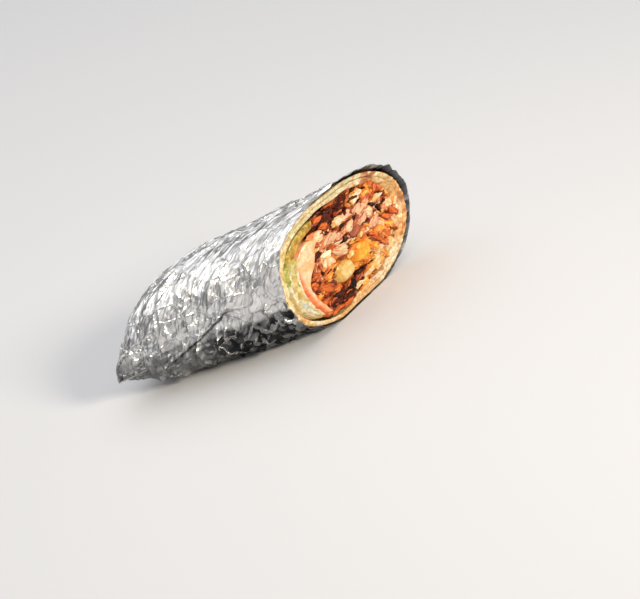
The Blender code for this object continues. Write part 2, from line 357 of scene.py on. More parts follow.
class Nodes:
    """A node tree, whose new nodes all come from one method."""

    def __init__(self, tree: bpy.types.NodeTree) -> None:
        """Wraps a tree."""
        self.tree = tree

    def node(
        self, kind: str, settings: dict | None = None, inputs: dict | None = None, output: int | str = 0
    ) -> Field:
        """Adds a node.

        Args:
            kind: The node's type.
            settings: Its properties, set first.
            inputs: Values or links of its sockets, by number or name.
            output: Which output to return.

        Returns:
            That output.
        """
        node = self.tree.nodes.new(kind)
        for key, value in (settings or {}).items():
            setattr(node, key, value)
        for key, value in (inputs or {}).items():
            if isinstance(value, Field):
                self.tree.links.new(value.socket, node.inputs[key])
            else:
                node.inputs[key].default_value = value
        return Field(self, node.outputs[output])

    def vector(self, operation: str, *values: Field | Triple, output: int | str = 0) -> Field:
        """Vector maths on these values."""
        return self.node("ShaderNodeVectorMath", {"operation": operation}, dict(enumerate(values)), output)

    def axis(self, source: Field, name: str) -> Field:
        """One part of a vector."""
        return self.node("ShaderNodeSeparateXYZ", None, {0: source}, output=name)

    def link(self, field: Field, node: bpy.types.Node, name: str) -> None:
        """Links a value to a socket of a node that the tree had from the start."""
        self.tree.links.new(field.socket, node.inputs[name])


class Graph(Nodes):
    """The nodes of one material, round its Principled shader."""

    def __init__(self, name: str, **shader: float | Triple) -> None:
        """Makes the material.

        Args:
            name: The material's name.
            **shader: Values of the shader's sockets, with _ for a space.
        """
        self.material = bpy.data.materials.new(name)
        self.material.use_nodes = True
        super().__init__(self.material.node_tree)
        self.shader = self.tree.nodes["Principled BSDF"]
        for key, value in shader.items():
            self.shader.inputs[key.replace("_", " ").title().replace("Ior", "IOR")].default_value = value
        self.place = self.node("ShaderNodeTexCoord", output="Object")

    def noise(
        self, scale: float, detail: float = 3.0, roughness: float = 0.55, at: Field | None = None
    ) -> Field:
        """Noise from 0 to 1.

        Args:
            scale: Lumps to the metre, or to a unit of at.
            detail: Octaves.
            roughness: Weight of the finer octaves.
            at: Coordinates, or None for the object's.

        Returns:
            The noise.
        """
        inputs = {"Vector": at or self.place, "Scale": scale, "Detail": detail, "Roughness": roughness}
        return self.node("ShaderNodeTexNoise", None, inputs)

    def cell_edges(self, scale: float, at: Field) -> Field:
        """Distance to the edges of scattered cells, at so many to the metre."""
        settings = {"feature": "DISTANCE_TO_EDGE"}
        return self.node("ShaderNodeTexVoronoi", settings, {"Vector": at, "Scale": scale})

    def mix(
        self, factor: Field | float, low: Field | Colour, high: Field | Colour, blend: str = "MIX"
    ) -> Field:
        """Colour between two others."""
        settings = {"data_type": "RGBA", "blend_type": blend}
        return self.node("ShaderNodeMix", settings, {0: factor, 6: low, 7: high}, output=2)

    def attribute(self, name: str, output: str = "Color") -> Field:
        """An attribute of the mesh."""
        return self.node("ShaderNodeAttribute", {"attribute_name": name}, output=output)

    def drive(self, **links: Field) -> None:
        """Links values to the shader's sockets, with _ for a space in their names."""
        for key, value in links.items():
            self.link(value, self.shader, key.replace("_", " "))

    def relief(self, height: Field, depth: float, under: Field | None = None) -> Field:
        """Bump of a height field.

        Args:
            height: The field.
            depth: Depth in metres of a height of 1.
            under: A bump to add to.

        Returns:
            The bent normal.
        """
        inputs = {"Height": height, "Distance": depth, "Strength": 1.0}
        if under:
            inputs["Normal"] = under
        return self.node("ShaderNodeBump", None, inputs)


def mapped_grid(columns: int, rows: int, place: Place) -> Mesh:
    """A grid whose vertices are moved by a function of their two shares, closed at its far rows.

    Args:
        columns: Cells along the strip.
        rows: Cells round its profile, whose first and last rows are bridged.
        place: Gives a vertex's point from its shares.

    Returns:
        The closed mesh.
    """
    half = 0.5
    bm = bmesh.new()
    bmesh.ops.create_grid(bm, x_segments=columns, y_segments=rows, size=half)
    ends = [e for e in bm.edges if all(abs(abs(v.co.y) - half) < TINY for v in e.verts)]
    for vert in bm.verts:
        vert.co = place(vert.co.x + half, vert.co.y + half)
    bmesh.ops.bridge_loops(bm, edges=ends)
    bmesh.ops.holes_fill(bm, edges=[e for e in bm.edges if e.is_boundary], sides=0)
    return bm


def finished(
    name: str, bm: Mesh, graph: Graph, replaces: Sequence[str], sharp: float = FLAT
) -> None:
    """Turns a bmesh into a piece that rides on the wrap.

    Args:
        name: The piece's name.
        bm: Its mesh, which is freed.
        graph: Its material.
        replaces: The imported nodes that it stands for.
        sharp: Angle in degrees from which an edge is shaded sharp.
    """
    bmesh.ops.recalc_face_normals(bm, faces=bm.faces)
    mesh = bpy.data.meshes.new(name)
    bm.to_mesh(mesh)
    bm.free()
    mesh.shade_smooth()
    if sharp < FLAT:
        mesh.set_sharp_from_angle(angle=math.radians(sharp))
    mesh.materials.append(graph.material)
    piece = bpy.data.objects.new(name, mesh)
    bpy.context.scene.collection.objects.link(piece)
    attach(piece, "root")
    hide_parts(*replaces)
    LOG.info("%s: %d faces", name, len(mesh.polygons))


@dataclass(frozen=True)
class FoilFinish:
    """Crumpled aluminium foil: flat facets, thin creases that run across the wrap and painted light: shade in
    the creases, a dark reflection underneath, a shadow under the lap's edge and shade on the inner side.
    """

    bright: Colour = shade(240, 240, 240)
    dull: Colour = shade(176, 176, 178)
    # Colour of the painted shade, shadow and dark reflection.
    shadow: Colour = shade(30, 31, 34)
    slant: float = 0.3
    facet_depth: float = 0.0026
    fine_depth: float = 0.0009
    crease_depth: float = 0.0003
    edge_depth: float = 0.6
    warp_scale: float = 90.0
    warp_reach: Triple = (0.003, 0.003, 0.0)
    pleats: Triple = (60.0, 210.0, 1.0)
    facets: Triple = (110.0, 230.0, 0.0)
    fine_facets: Triple = (260.0, 470.0, 0.0)
    creases: float = 120.0
    mottle: float = 300.0
    pleat_width: float = 0.14
    crease_width: float = 0.08
    mottled: Pair = (0.4, 0.7)
    mottling: float = 0.25
    dulled: Pair = (0.3, 0.8)
    dulling: float = 0.35
    # Painted shade in the creases: where it begins and ends, and how strong it is.
    creased: Pair = (0.7, 1.0)
    creasing: float = 0.5
    # How strongly the painted dark reflection on the underside darkens: at least, and more on some facets.
    under_facets: Pair = (0.74, 0.26)
    gap_shade: float = 0.9
    # How strongly the painted shade on the inner wall darkens: at least, and more on some facets.
    hollow_facets: Pair = (0.6, 0.4)
    roughness: float = 0.23
    mottle_roughness: float = 0.14
    under_roughness: float = 0.1

    @staticmethod
    def _facets(g: Graph, at: Field) -> tuple[Field, Field]:
        """Flat facets, each tilted its own way.

        Args:
            g: The material's graph.
            at: Coordinates with a facet to the unit.

        Returns:
            The facets' height and a random share of each.
        """
        cell = g.node("ShaderNodeTexVoronoi", {"voronoi_dimensions": "2D"}, {"Vector": at, "Scale": 1.0})
        outputs = cell.socket.node.outputs
        chance = Field(g, outputs["Color"])
        off = g.vector("SUBTRACT", at, Field(g, outputs["Position"]))
        lean = g.vector("SUBTRACT", chance, (0.5, 0.5, 0.5))
        return g.vector("DOT_PRODUCT", off, lean, output="Value"), g.axis(chance, "Z")

    def graph(self) -> Graph:
        """Builds the material.

        Returns:
            The material's graph.
        """
        g = Graph("crumpled foil", metallic=1.0)
        sheet = g.attribute("sheet", "Vector")
        warping = {"Vector": sheet, "Scale": self.warp_scale, "Detail": 2.0}
        warp = g.node("ShaderNodeTexNoise", None, warping, output="Color")
        bent = g.vector("MULTIPLY_ADD", warp, self.warp_reach, sheet)
        turning = {"Vector": bent, "Angle": self.slant}
        turned = g.node("ShaderNodeVectorRotate", {"rotation_type": "Z_AXIS"}, turning)
        across = g.vector("MULTIPLY", turned, self.pleats)
        pleats = abs(g.noise(1.0, 1.5, 0.5, at=across) - 0.5).step(self.pleat_width, 0.0)
        long_height, long_chance = self._facets(g, g.vector("MULTIPLY", turned, self.facets))
        fine_height, fine_chance = self._facets(g, g.vector("MULTIPLY", turned, self.fine_facets))
        creases = g.cell_edges(self.creases, bent).step(self.crease_width, 0.0)
        normal = g.relief(long_height, self.facet_depth)
        normal = g.relief(fine_height, self.fine_depth, normal)
        normal = g.relief(pleats, self.crease_depth, normal)
        normal = g.relief(creases, self.crease_depth * self.edge_depth, normal)
        # Painted reflection: the underside's mask, which darkens its facets toward the shadow colour and
        # roughens them.
        under = g.attribute("under", "Fac")
        mottle = g.noise(self.mottle)
        dulled = self.mottling * mottle.step(*self.mottled)
        dulled = dulled + self.dulling * long_chance.step(*self.dulled)
        colour = g.mix(dulled, self.bright, self.dull)
        # Painted shade: the creases are darkened toward the dull colour.
        colour = g.mix(creases.step(*self.creased) * self.creasing, colour, self.dull, "MULTIPLY")
        under_least, under_more = self.under_facets
        hollow_least, hollow_more = self.hollow_facets
        # Painted light, each toward the shadow colour: the underside's dark reflection and the inner wall's
        # shade, both varying from facet to facet, and the shadow under the lap's edge.
        shadows = (
            under * (under_least + under_more * fine_chance.step(0.2, 0.5)),
            g.attribute("shadow", "Fac") * self.gap_shade,
            g.attribute("hollow", "Fac") * (hollow_least + hollow_more * fine_chance.step(0.1, 0.4)),
        )
        for dark in shadows:
            colour = g.mix(dark, colour, self.shadow)
        roughness = self.roughness + self.mottle_roughness * mottle + self.under_roughness * under
        g.drive(Base_Color=colour, Roughness=roughness, Normal=normal)
        return g


@dataclass(frozen=True)
class Crumple:
    """One size of facet in the foil's sheet."""

    height: float
    jitter: float
    share: float


@dataclass
class FoilWrap:
    """The foil: a crumpled sheet round the wrap, lapped aslant, pinched at the tail and ragged at the cut."""

    body: WrapBody
    girth: float = 190.0
    cells_around: int = 20
    cells_along: int = 16
    wall: float = 0.25
    crumples: tuple[Crumple, ...] = (
        Crumple(0.48, 0.36, 0.95),
        Crumple(0.42, 0.34, 0.8),
        Crumple(0.20, 0.30, 0.5),
        Crumple(0.04, 0.25, 0.3),
        Crumple(0.0, 0.2, 0.0),
    )
    ridges: int = 460
    slant: float = 0.26
    lap_turn: float = 224.0
    lap_slope: float = -0.79
    lap_step: float = 1.0
    lap_lift: float = 0.9
    lap_edge: Pair = (-0.5, 1.0)
    lap_curl: Pair = (0.0, 6.0)
    lap_fade: Pair = (12.0, 70.0)
    lap_start: Pair = (22.0, 12.0)
    lap_end: Pair = (70.0, 12.0)
    lap_end_share: float = 0.85
    # Where along the sheet the painted shadow under the lap's lifted edge begins and ends.
    gap_start: Pair = (26.0, 10.0)
    gap_end: Pair = (70.0, 8.0)
    flat_clear: Pair = (17.0, 20.0)
    front_turn: float = 208.0
    front_spread: float = 60.0
    calm_tail: float = 14.0
    tail_calm: float = 0.45
    calm_hem: float = 4.0
    hem_least: float = 0.3
    crumpling: float = 0.75
    front_crumpling: float = 0.75
    lap_waves: tuple[Wave, ...] = (Wave(1.6, 0.16, 3.0), Wave(0.8, 0.5, 5.0))
    lip_level: float = 0.65
    lip_waves: tuple[Wave, ...] = (Wave(0.7, 0.11, 8.0), Wave(0.45, 0.35, 9.0))
    lip_pucker: Wave = Wave(0.7, 0.16, 2.0)
    pucker_least: float = 0.35
    straight_rows: float = 5.0
    ridge_inset: float = 12.0
    ridge_spread: float = 0.38
    stray_ridges: float = 0.25
    ridge_reach: Pair = (3.0, 14.0)
    ridge_width: Pair = (0.9, 2.2)
    ridge_height: Pair = (0.3, 1.0)
    ridge_bow: float = 0.012
    tail_fold: tuple[Pair, ...] = (
        (0.032, 200.0), (0.009, 177.0), (0.072, 171.0), (0.115, 168.5), (0.162, 166.5), (0.188, 186.5),
    )
    fold_height: float = 1.6
    fold_width: float = 1.5
    tail_pinch: float = 0.02
    tail_bunching: float = 0.06
    tail_ruffle: float = 1.3
    ruffle_end: float = 0.07
    deepest: float = -0.3
    lip_turn: float = 66.0
    lip_least: float = 1.1
    lip_most: float = 2.5
    lip_flare: float = 1.7
    flare_over: Pair = (0.95, 0.05)
    reach_over: Pair = (0.97, 0.03)
    lining_over: Pair = (0.93, 0.07)
    # Past rim, the inner wall's painted shade has the strength rim_hollow.
    rim: float = 0.99
    rim_hollow: float = 0.8
    inner_stations: tuple[float, ...] = (
        1.0, 0.985, 0.96, 0.92, 0.84, 0.7, 0.55, 0.4, 0.28, 0.18, 0.11, 0.07,
    )
    # The painted dark reflection on the underside: its ragged edge, how far it fades in and how it eases at
    # the tail.
    under_ragged: float = 9.0
    under_over: float = 10.0
    under_tail: float = 0.03
    sharp: float = 14.0
    seed: int = 11
    finish: FoilFinish = field(default_factory=FoilFinish)

    def _share(self, along: float) -> float:
        """Share of the wrap's length of a place along the sheet, whose rows bunch up where it closes."""
        s = along / self.body.length
        return s * s / (s + self.tail_bunching * (1 - s) + TINY)

    def _turn(self, around: float) -> float:
        """Angle in the section of a place round the sheet, whose edges meet under the wrap."""
        return 270.0 + 360.0 * around / self.girth

    def _strength(self, around: float, along: float) -> float:
        """How strongly the sheet is crumpled: not on the resting flat, most low on the front.

        Args:
            around: Place round the sheet.
            along: Place along it.

        Returns:
            The strength, 0 on the resting flat.
        """
        turn = self._turn(around) % 360
        off_flat = abs((turn - 270 + 180) % 360 - 180)
        front = ease(1 - abs(turn - self.front_turn) / self.front_spread)
        tail = 1 - self.tail_calm * ease(1 - along / self.calm_tail)
        tail *= lerp(self.hem_least, 1.0, ease(along / self.calm_hem))
        return rise(off_flat, self.flat_clear) * (self.crumpling + self.front_crumpling * front) * tail

    def _sheet(self, draw: random.Random) -> Mesh:
        """The flat sheet in (around, along, height), crumpled in facets of five sizes.

        Args:
            draw: The random source.

        Returns:
            Its mesh.
        """
        bm = bmesh.new()
        bmesh.ops.create_grid(bm, x_segments=self.cells_around, y_segments=self.cells_along, size=0.5)
        bmesh.ops.translate(bm, vec=(0.5, 0.5, 0.0), verts=bm.verts)
        bmesh.ops.scale(bm, vec=(self.girth, self.body.length, 1.0), verts=bm.verts)
        fresh = list(bm.verts)
        for level, crumple in enumerate(self.crumples):
            self._crumple(fresh, crumple, 2.0**level, draw)
            if level == 0:
                bmesh.ops.triangulate(bm, faces=bm.faces)
            if level < len(self.crumples) - 1:
                count = len(bm.verts)
                bmesh.ops.subdivide_edges(bm, edges=bm.edges, cuts=1, use_grid_fill=True)
                bm.verts.ensure_lookup_table()
                fresh = bm.verts[count:]
        return bm

    def _crumple(
        self, verts: Sequence[bmesh.types.BMVert], crumple: Crumple, finer: float, draw: random.Random
    ) -> None:
        """Shifts and lifts fresh vertices of the sheet, whose borders stay straight.

        Args:
            verts: The vertices.
            crumple: The size of facet.
            finer: How much smaller its facets are than the first.
            draw: The random source.
        """
        cell_around = self.girth / self.cells_around / finer
        cell_along = self.body.length / self.cells_along / finer
        for vert in verts:
            around, along = vert.co.x, vert.co.y
            shift_around = cell_around * draw.uniform(-crumple.jitter, crumple.jitter)
            shift_along = cell_along * draw.uniform(-crumple.jitter, crumple.jitter)
            lift = draw.gauss(0.0, crumple.height) * (draw.random() < crumple.share)
            shift_along *= ease(along / self.straight_rows)
            inside = TINY < around < self.girth - TINY
            if inside and TINY < along < self.body.length - TINY:
                vert.co.x += shift_around
                vert.co.y += shift_along
            if inside:
                vert.co.z += lift * self._strength(around, along)

    def _ridge_heights(self, points: np.ndarray, draw: random.Random) -> np.ndarray:
        """Height of the long thin creases, most of which run across the wrap.

        Args:
            points: Rows of (around, along) in millimetres.
            draw: The random source.

        Returns:
            A height for each point.
        """
        heights = np.zeros(len(points))
        inset = self.ridge_inset
        for _ in range(self.ridges):
            around = draw.uniform(inset, self.girth - inset)
            middle = np.array((around, draw.uniform(2, self.body.length - 1)))
            angle = draw.gauss(-self.slant, self.ridge_spread)
            if draw.random() < self.stray_ridges:
                angle = draw.uniform(-math.pi / 2, math.pi / 2)
            reach = draw.uniform(*self.ridge_reach)
            width = draw.uniform(*self.ridge_width)
            height = draw.uniform(*self.ridge_height) * draw.choice((1, 1, -0.5))
            off = points - middle
            along = off @ np.array((math.cos(angle), math.sin(angle)))
            bow = self.ridge_bow * along**2 * draw.uniform(-1, 1)
            across = off @ np.array((-math.sin(angle), math.cos(angle))) + bow
            profile = np.clip(1 - np.abs(across) / width, 0, 1) * np.clip(1 - (along / reach) ** 2, 0, 1)
            heights += height * profile
        return heights

    def _tail_ridges(self, points: np.ndarray) -> np.ndarray:
        """Height of the ridges round the tail's folded-over corner, at rows of (around, along).

        Args:
            points: The rows.

        Returns:
            A height for each.
        """
        girth, length = self.girth, self.body.length
        corners = [((turn - 270) % 360 / 360 * girth, t * length) for t, turn in self.tail_fold]
        heights = np.zeros(len(points))
        for start, end in zip(corners, corners[1:]):
            first, step = np.array(start), np.subtract(end, start)
            share = np.clip((points - first) @ step / (step @ step), 0, 1)
            off = np.linalg.norm(points - first - share[:, None] * step, axis=1)
            heights = np.maximum(heights, self.fold_height * np.clip(1 - off / self.fold_width, 0, 1))
        return heights

    def _past_lap(self, turn: float, along: float) -> float:
        """Degrees that a place lies inside the outer lap, whose edge runs aslant down the front."""
        return self.lap_turn + self.lap_slope * along + 2 * waved(0.0, self.lap_waves, along) - turn

    def _lap(self, past: float, along: float) -> float:
        """Height of the outer lap, which ends in a crisp lifted edge.

        Args:
            past: Degrees inside the lap's edge.
            along: Place along the sheet.

        Returns:
            The height.
        """
        edge = rise(past, self.lap_edge)
        inside = edge * (1 - rise(past, self.lap_fade))
        lifted = self.lap_lift * edge * (1 - rise(past, self.lap_curl))
        ends = rise(along, self.lap_start) * (1 - self.lap_end_share * rise(along, self.lap_end))
        return (self.lap_step * inside + lifted) * ends

    def _gap_shadow(self, past: float, along: float) -> float:
        """How dark the painted shadow in the gap under the lap's lifted edge is."""
        shadowed = rise(along, self.gap_start) * (1 - rise(along, self.gap_end))
        return shadowed * ease((past + 3.2) / 1.4) * ease((0.3 - past) / 0.6)

    def _lip(self, turn: float) -> Pair:
        """How far the edge reaches past the cut, and how far it flares from the bread.

        Args:
            turn: Angle in degrees.

        Returns:
            Both distances.
        """
        towards = max(0.0, math.cos(math.radians(turn - self.lip_turn))) ** 2
        ragged = waved(self.lip_level, self.lip_waves, turn)
        pucker = self.lip_pucker.at(turn, 0.0) * (self.pucker_least + towards)
        reach = self.lip_least + (self.lip_most - self.lip_least) * towards * ragged
        return reach, self.lip_flare * towards + pucker

    def _point(self, t: float, turn: float, height: float, wall: float = 0.0) -> Vector:
        """Point of the foil at a share of the length, an angle and a height over the body.

        Args:
            t: Share of the length.
            turn: Angle in degrees.
            height: Height over the body.
            wall: Depth inside the foil.

        Returns:
            The point.
        """
        reach, flare = self._lip(turn)
        radius = self.body.outline(t, turn) + max(self.deepest, height) - wall
        radius += flare * rise(t, self.flare_over)
        pinched = min(1.0, t / self.tail_pinch)
        angle = math.radians(turn)
        across = lerp(self.body.half_width(0.0), radius, pinched) * math.cos(angle)
        ruffle = self.tail_ruffle * (1 - ease(t / self.ruffle_end))
        beyond = reach * rise(t, self.reach_over) + ruffle * bumps(across, 0.0, 0.3, 12.0)
        lift = ruffle * bumps(across, 0.0, 0.21, 13.0)
        return self.body.at(t, across, radius * math.sin(angle) * pinched + lift, beyond)

    def build(self) -> None:
        """Builds the foil."""
        draw = random.Random(self.seed)
        bm = self._sheet(draw)
        layers = bm.verts.layers.float
        # under, hollow and shadow carry painted light: a dark reflection on the underside, shade on the inner
        # wall and a shadow under the lap's edge.
        names = ("turn", "height", "under", "hollow", "shadow")
        turns, heights, under, hollow, shadow = (layers.new(name) for name in names)
        sheet = bm.verts.layers.float_vector.new("sheet")
        flat = np.array([vert.co[:2] for vert in bm.verts])
        ridges = self._ridge_heights(flat, draw) + self._tail_ridges(flat)
        for vert, ridge in zip(bm.verts, ridges):
            around, along, height = vert.co
            turn = self._turn(around)
            strength = self._strength(around, along)
            past = self._past_lap(turn % 360, along)
            smooth = 1 - 0.6 * ease((along - 24) / 14) * ease(1 - abs(past + 3) / 8)
            height = (height + ridge * strength) * smooth + self._lap(past, along)
            # Painted shadow in the gap under the lap's lifted edge.
            vert[shadow] = self._gap_shadow(past, along)
            vert[turns] = turn
            vert[heights] = height
            vert.co = self._point(self._share(along), turn, height)
            vert[sheet] = Vector((around, along, 0.0)) * MM
        bmesh.ops.remove_doubles(bm, verts=bm.verts, dist=1e-6)
        self._line(bm, turns, heights, hollow)
        self._shade_under(bm, turns, under)
        finished("foil_sheet", bm, self.finish.graph(), ["foil_wrap"], self.sharp)

    def _line(self, bm: Mesh, turns: Layer, heights: Layer, hollow: Layer) -> None:
        """Turns the lip inwards and carries the inner wall back to the tail, where it closes.

        Args:
            bm: The sheet, bent round the wrap.
            turns: The layer of the vertices' angles.
            heights: The layer of their heights over the body.
            hollow: The layer of painted shade on the inner wall.
        """
        edges = [e for e in bm.edges if e.is_boundary]
        tail = self.inner_stations[-1]
        for t in self.inner_stations:
            made = bmesh.ops.extrude_edge_only(bm, edges=edges)["geom"]
            edges = [g for g in made if isinstance(g, bmesh.types.BMEdge)]
            follow = rise(t, self.lining_over)
            wall = lerp(self.body.foil_wall, self.wall, follow)
            for vert in (g for g in made if isinstance(g, bmesh.types.BMVert)):
                # Painted shade on the inner wall, a little weaker at the rim.
                vert[hollow] = 1.0 if t < self.rim else self.rim_hollow
                height = vert[heights] if t > self.rim else min(0.0, vert[heights]) * follow
                vert.co = self._point(t, vert[turns], height, wall)
        for vert in {v for e in edges for v in e.verts}:
            vert.co.z = self.body.at(tail, 0.0, 0.0).z
        bmesh.ops.remove_doubles(bm, verts=list({v for e in edges for v in e.verts}), dist=2e-6)

    def _shade_under(self, bm: Mesh, turns: Layer, under: Layer) -> None:
        """Paints a dark reflection on the underside, whose facets only see the dark below the wrap, down from
        a ragged line.

        Args:
            bm: The foil.
            turns: The layer of the vertices' angles.
            under: The layer to fill with the painted reflection, 1 where it is darkest.
        """
        bm.normal_update()
        for vert in bm.verts:
            turn = vert[turns] % 360
            off = 180 - turn if turn < 270 else turn - 360
            ragged = self.under_ragged * bumps(turn * 0.1, vert.co.x * 120, 1.0, 6.0)
            tail = ease((-0.02 - vert.co.x) / self.under_tail)
            below = ease((-off + 2 + 5 * tail + ragged) / self.under_over) * (1 - 0.25 * tail)
            behind = 1 - 0.7 * ease(0.5 + math.cos(math.radians(turn)))
            vert[under] = below * ease((0.45 - vert.normal.z) / 0.7) * behind


@dataclass(frozen=True)
class FoodFinish:
    """A moist food surface that takes its colours from the piece's tint attribute."""

    name: str
    roughness: float = 0.46
    coat: float = 0.3
    coat_roughness: float = 0.06
    subsurface: float = 0.1
    glow: Triple = (0.8, 0.5, 0.3)
    grain: Triple = (120.0, 900.0, 900.0)
    grain_depth: float = 0.00022
    lumps: float = 900.0
    lump_depth: float = 0.00018
    dark: Colour = shade(184, 104, 46)
    stain: float = 0.45
    pale: Colour = shade(255, 236, 205)
    fleck: float = 0.25
    specular: float = 0.25
    glow_depth: float = 0.0022
    spot_scale: float = 0.55
    fibre_gaps: Pair = (0.62, 0.38)
    spotted: Pair = (0.56, 0.7)
    flecked: Pair = (0.55, 0.75)
    lump_roughness: Pair = (-0.12, 0.3)

    def graph(self) -> Graph:
        """Builds the material.

        Returns:
            The material's graph.
        """
        g = Graph(
            self.name,
            specular_ior_level=self.specular,
            coat_weight=self.coat,
            coat_roughness=self.coat_roughness,
            subsurface_weight=self.subsurface,
            subsurface_radius=self.glow,
            subsurface_scale=self.glow_depth,
        )
        tint = g.attribute("tint")
        along = g.attribute("grain", "Vector")
        fibres = g.noise(1.0, 4.0, 0.6, at=g.vector("MULTIPLY", along, self.grain))
        spots = g.noise(self.lumps * self.spot_scale)
        lumps = g.noise(self.lumps, 4.0, 0.62)
        colour = g.mix(fibres.step(*self.fibre_gaps) * self.stain, tint, self.dark, "MULTIPLY")
        colour = g.mix(spots.step(*self.spotted) * self.stain, colour, self.dark, "MULTIPLY")
        colour = g.mix(fibres.step(*self.flecked) * self.fleck, colour, self.pale, "SOFT_LIGHT")
        normal = g.relief(fibres, self.grain_depth)
        normal = g.relief(lumps, self.lump_depth, normal)
        least, rougher = self.lump_roughness
        g.drive(Base_Color=colour, Roughness=self.roughness + least + rougher * lumps, Normal=normal)
        return g


class Food(Enum):
    """The finish of each food but the chicken, whose heaps each have their own."""

    BREAD = FoodFinish(
        "flatbread", roughness=0.62, coat=0.08, coat_roughness=0.3, subsurface=0.1,
        glow=(0.9, 0.7, 0.4), grain=(700.0, 700.0, 700.0), grain_depth=0.00016, lumps=1500.0,
        lump_depth=0.00014, dark=shade(196, 140, 70), stain=0.5, pale=shade(255, 246, 214), fleck=0.4,
    )
    TOMATO = FoodFinish(
        "tomato", roughness=0.26, coat=0.6, coat_roughness=0.06, subsurface=0.25, glow=(1.0, 0.35, 0.2),
        grain=(420.0, 420.0, 420.0), grain_depth=0.00012, lumps=1400.0, lump_depth=0.00009,
        dark=shade(228, 120, 70), stain=0.3, pale=shade(255, 240, 220), fleck=0.3,
    )
    GHERKIN = FoodFinish(
        "gherkin", roughness=0.3, coat=0.5, coat_roughness=0.08, subsurface=0.2, glow=(0.6, 0.7, 0.2),
        grain=(500.0, 500.0, 500.0), grain_depth=0.00016, lumps=1300.0, lump_depth=0.00016,
        dark=shade(110, 96, 20), stain=0.45, pale=shade(250, 240, 170), fleck=0.3,
    )
    LETTUCE = FoodFinish(
        "lettuce", roughness=0.3, coat=0.45, coat_roughness=0.08, subsurface=0.3, glow=(0.6, 0.8, 0.3),
        grain=(300.0, 1200.0, 300.0), grain_depth=0.00018, lumps=1100.0, lump_depth=0.00012,
        dark=shade(170, 176, 84), stain=0.3, pale=shade(255, 255, 240), fleck=0.35,
    )
    DRESSING = FoodFinish(
        "dressing", roughness=0.25, coat=0.6, coat_roughness=0.05, subsurface=0.3, glow=(1.0, 0.8, 0.5),
        grain=(300.0, 300.0, 300.0), grain_depth=0.0001, lumps=700.0, lump_depth=0.0002,
        dark=shade(214, 180, 96), stain=0.25, pale=shade(255, 255, 245), fleck=0.3,
    )
    POTATO = FoodFinish(
        "fried potato", roughness=0.38, coat=0.3, coat_roughness=0.12, subsurface=0.22,
        glow=(1.0, 0.7, 0.3), grain=(600.0, 600.0, 600.0), grain_depth=0.0002, lumps=1600.0,
        lump_depth=0.00016, dark=shade(220, 150, 50), stain=0.35, pale=shade(255, 250, 210), fleck=0.35,
    )
    SAUCE = FoodFinish(
        "sauce", roughness=0.22, coat=0.7, coat_roughness=0.05, subsurface=0.1,
        lumps=1200.0, lump_depth=0.0003,
    )


def blend(low: Colour, high: Colour, share: float) -> Colour:
    """Colour at a share of the way from low to high."""
    return tuple(lerp(a, b, share) for a, b in zip(low, high))


@dataclass(frozen=True)
class Stain:
    """A soft patch of colour on the cut."""

    y: float
    z: float
    wide: float
    high: float
    colour: Colour
    strength: float = 1.0

    def share(self, y: float, z: float) -> float:
        """How much of the patch's colour a point takes."""
        off = math.hypot((y - self.y) / self.wide, (z - self.z) / self.high)
        return self.strength * ease(1.35 - off + 0.3 * bumps(y, z, 0.45, self.y))


def stained(base: Colour, stains: Sequence[Stain], y: float, z: float) -> Colour:
    """Colour of a point of the cut under its patches.

    Args:
        base: The colour without them.
        stains: The patches.
        y: Place across the section.
        z: Height in the section.

    Returns:
        The colour.
    """
    for stain in stains:
        base = blend(base, stain.colour, stain.share(y, z))
    return base


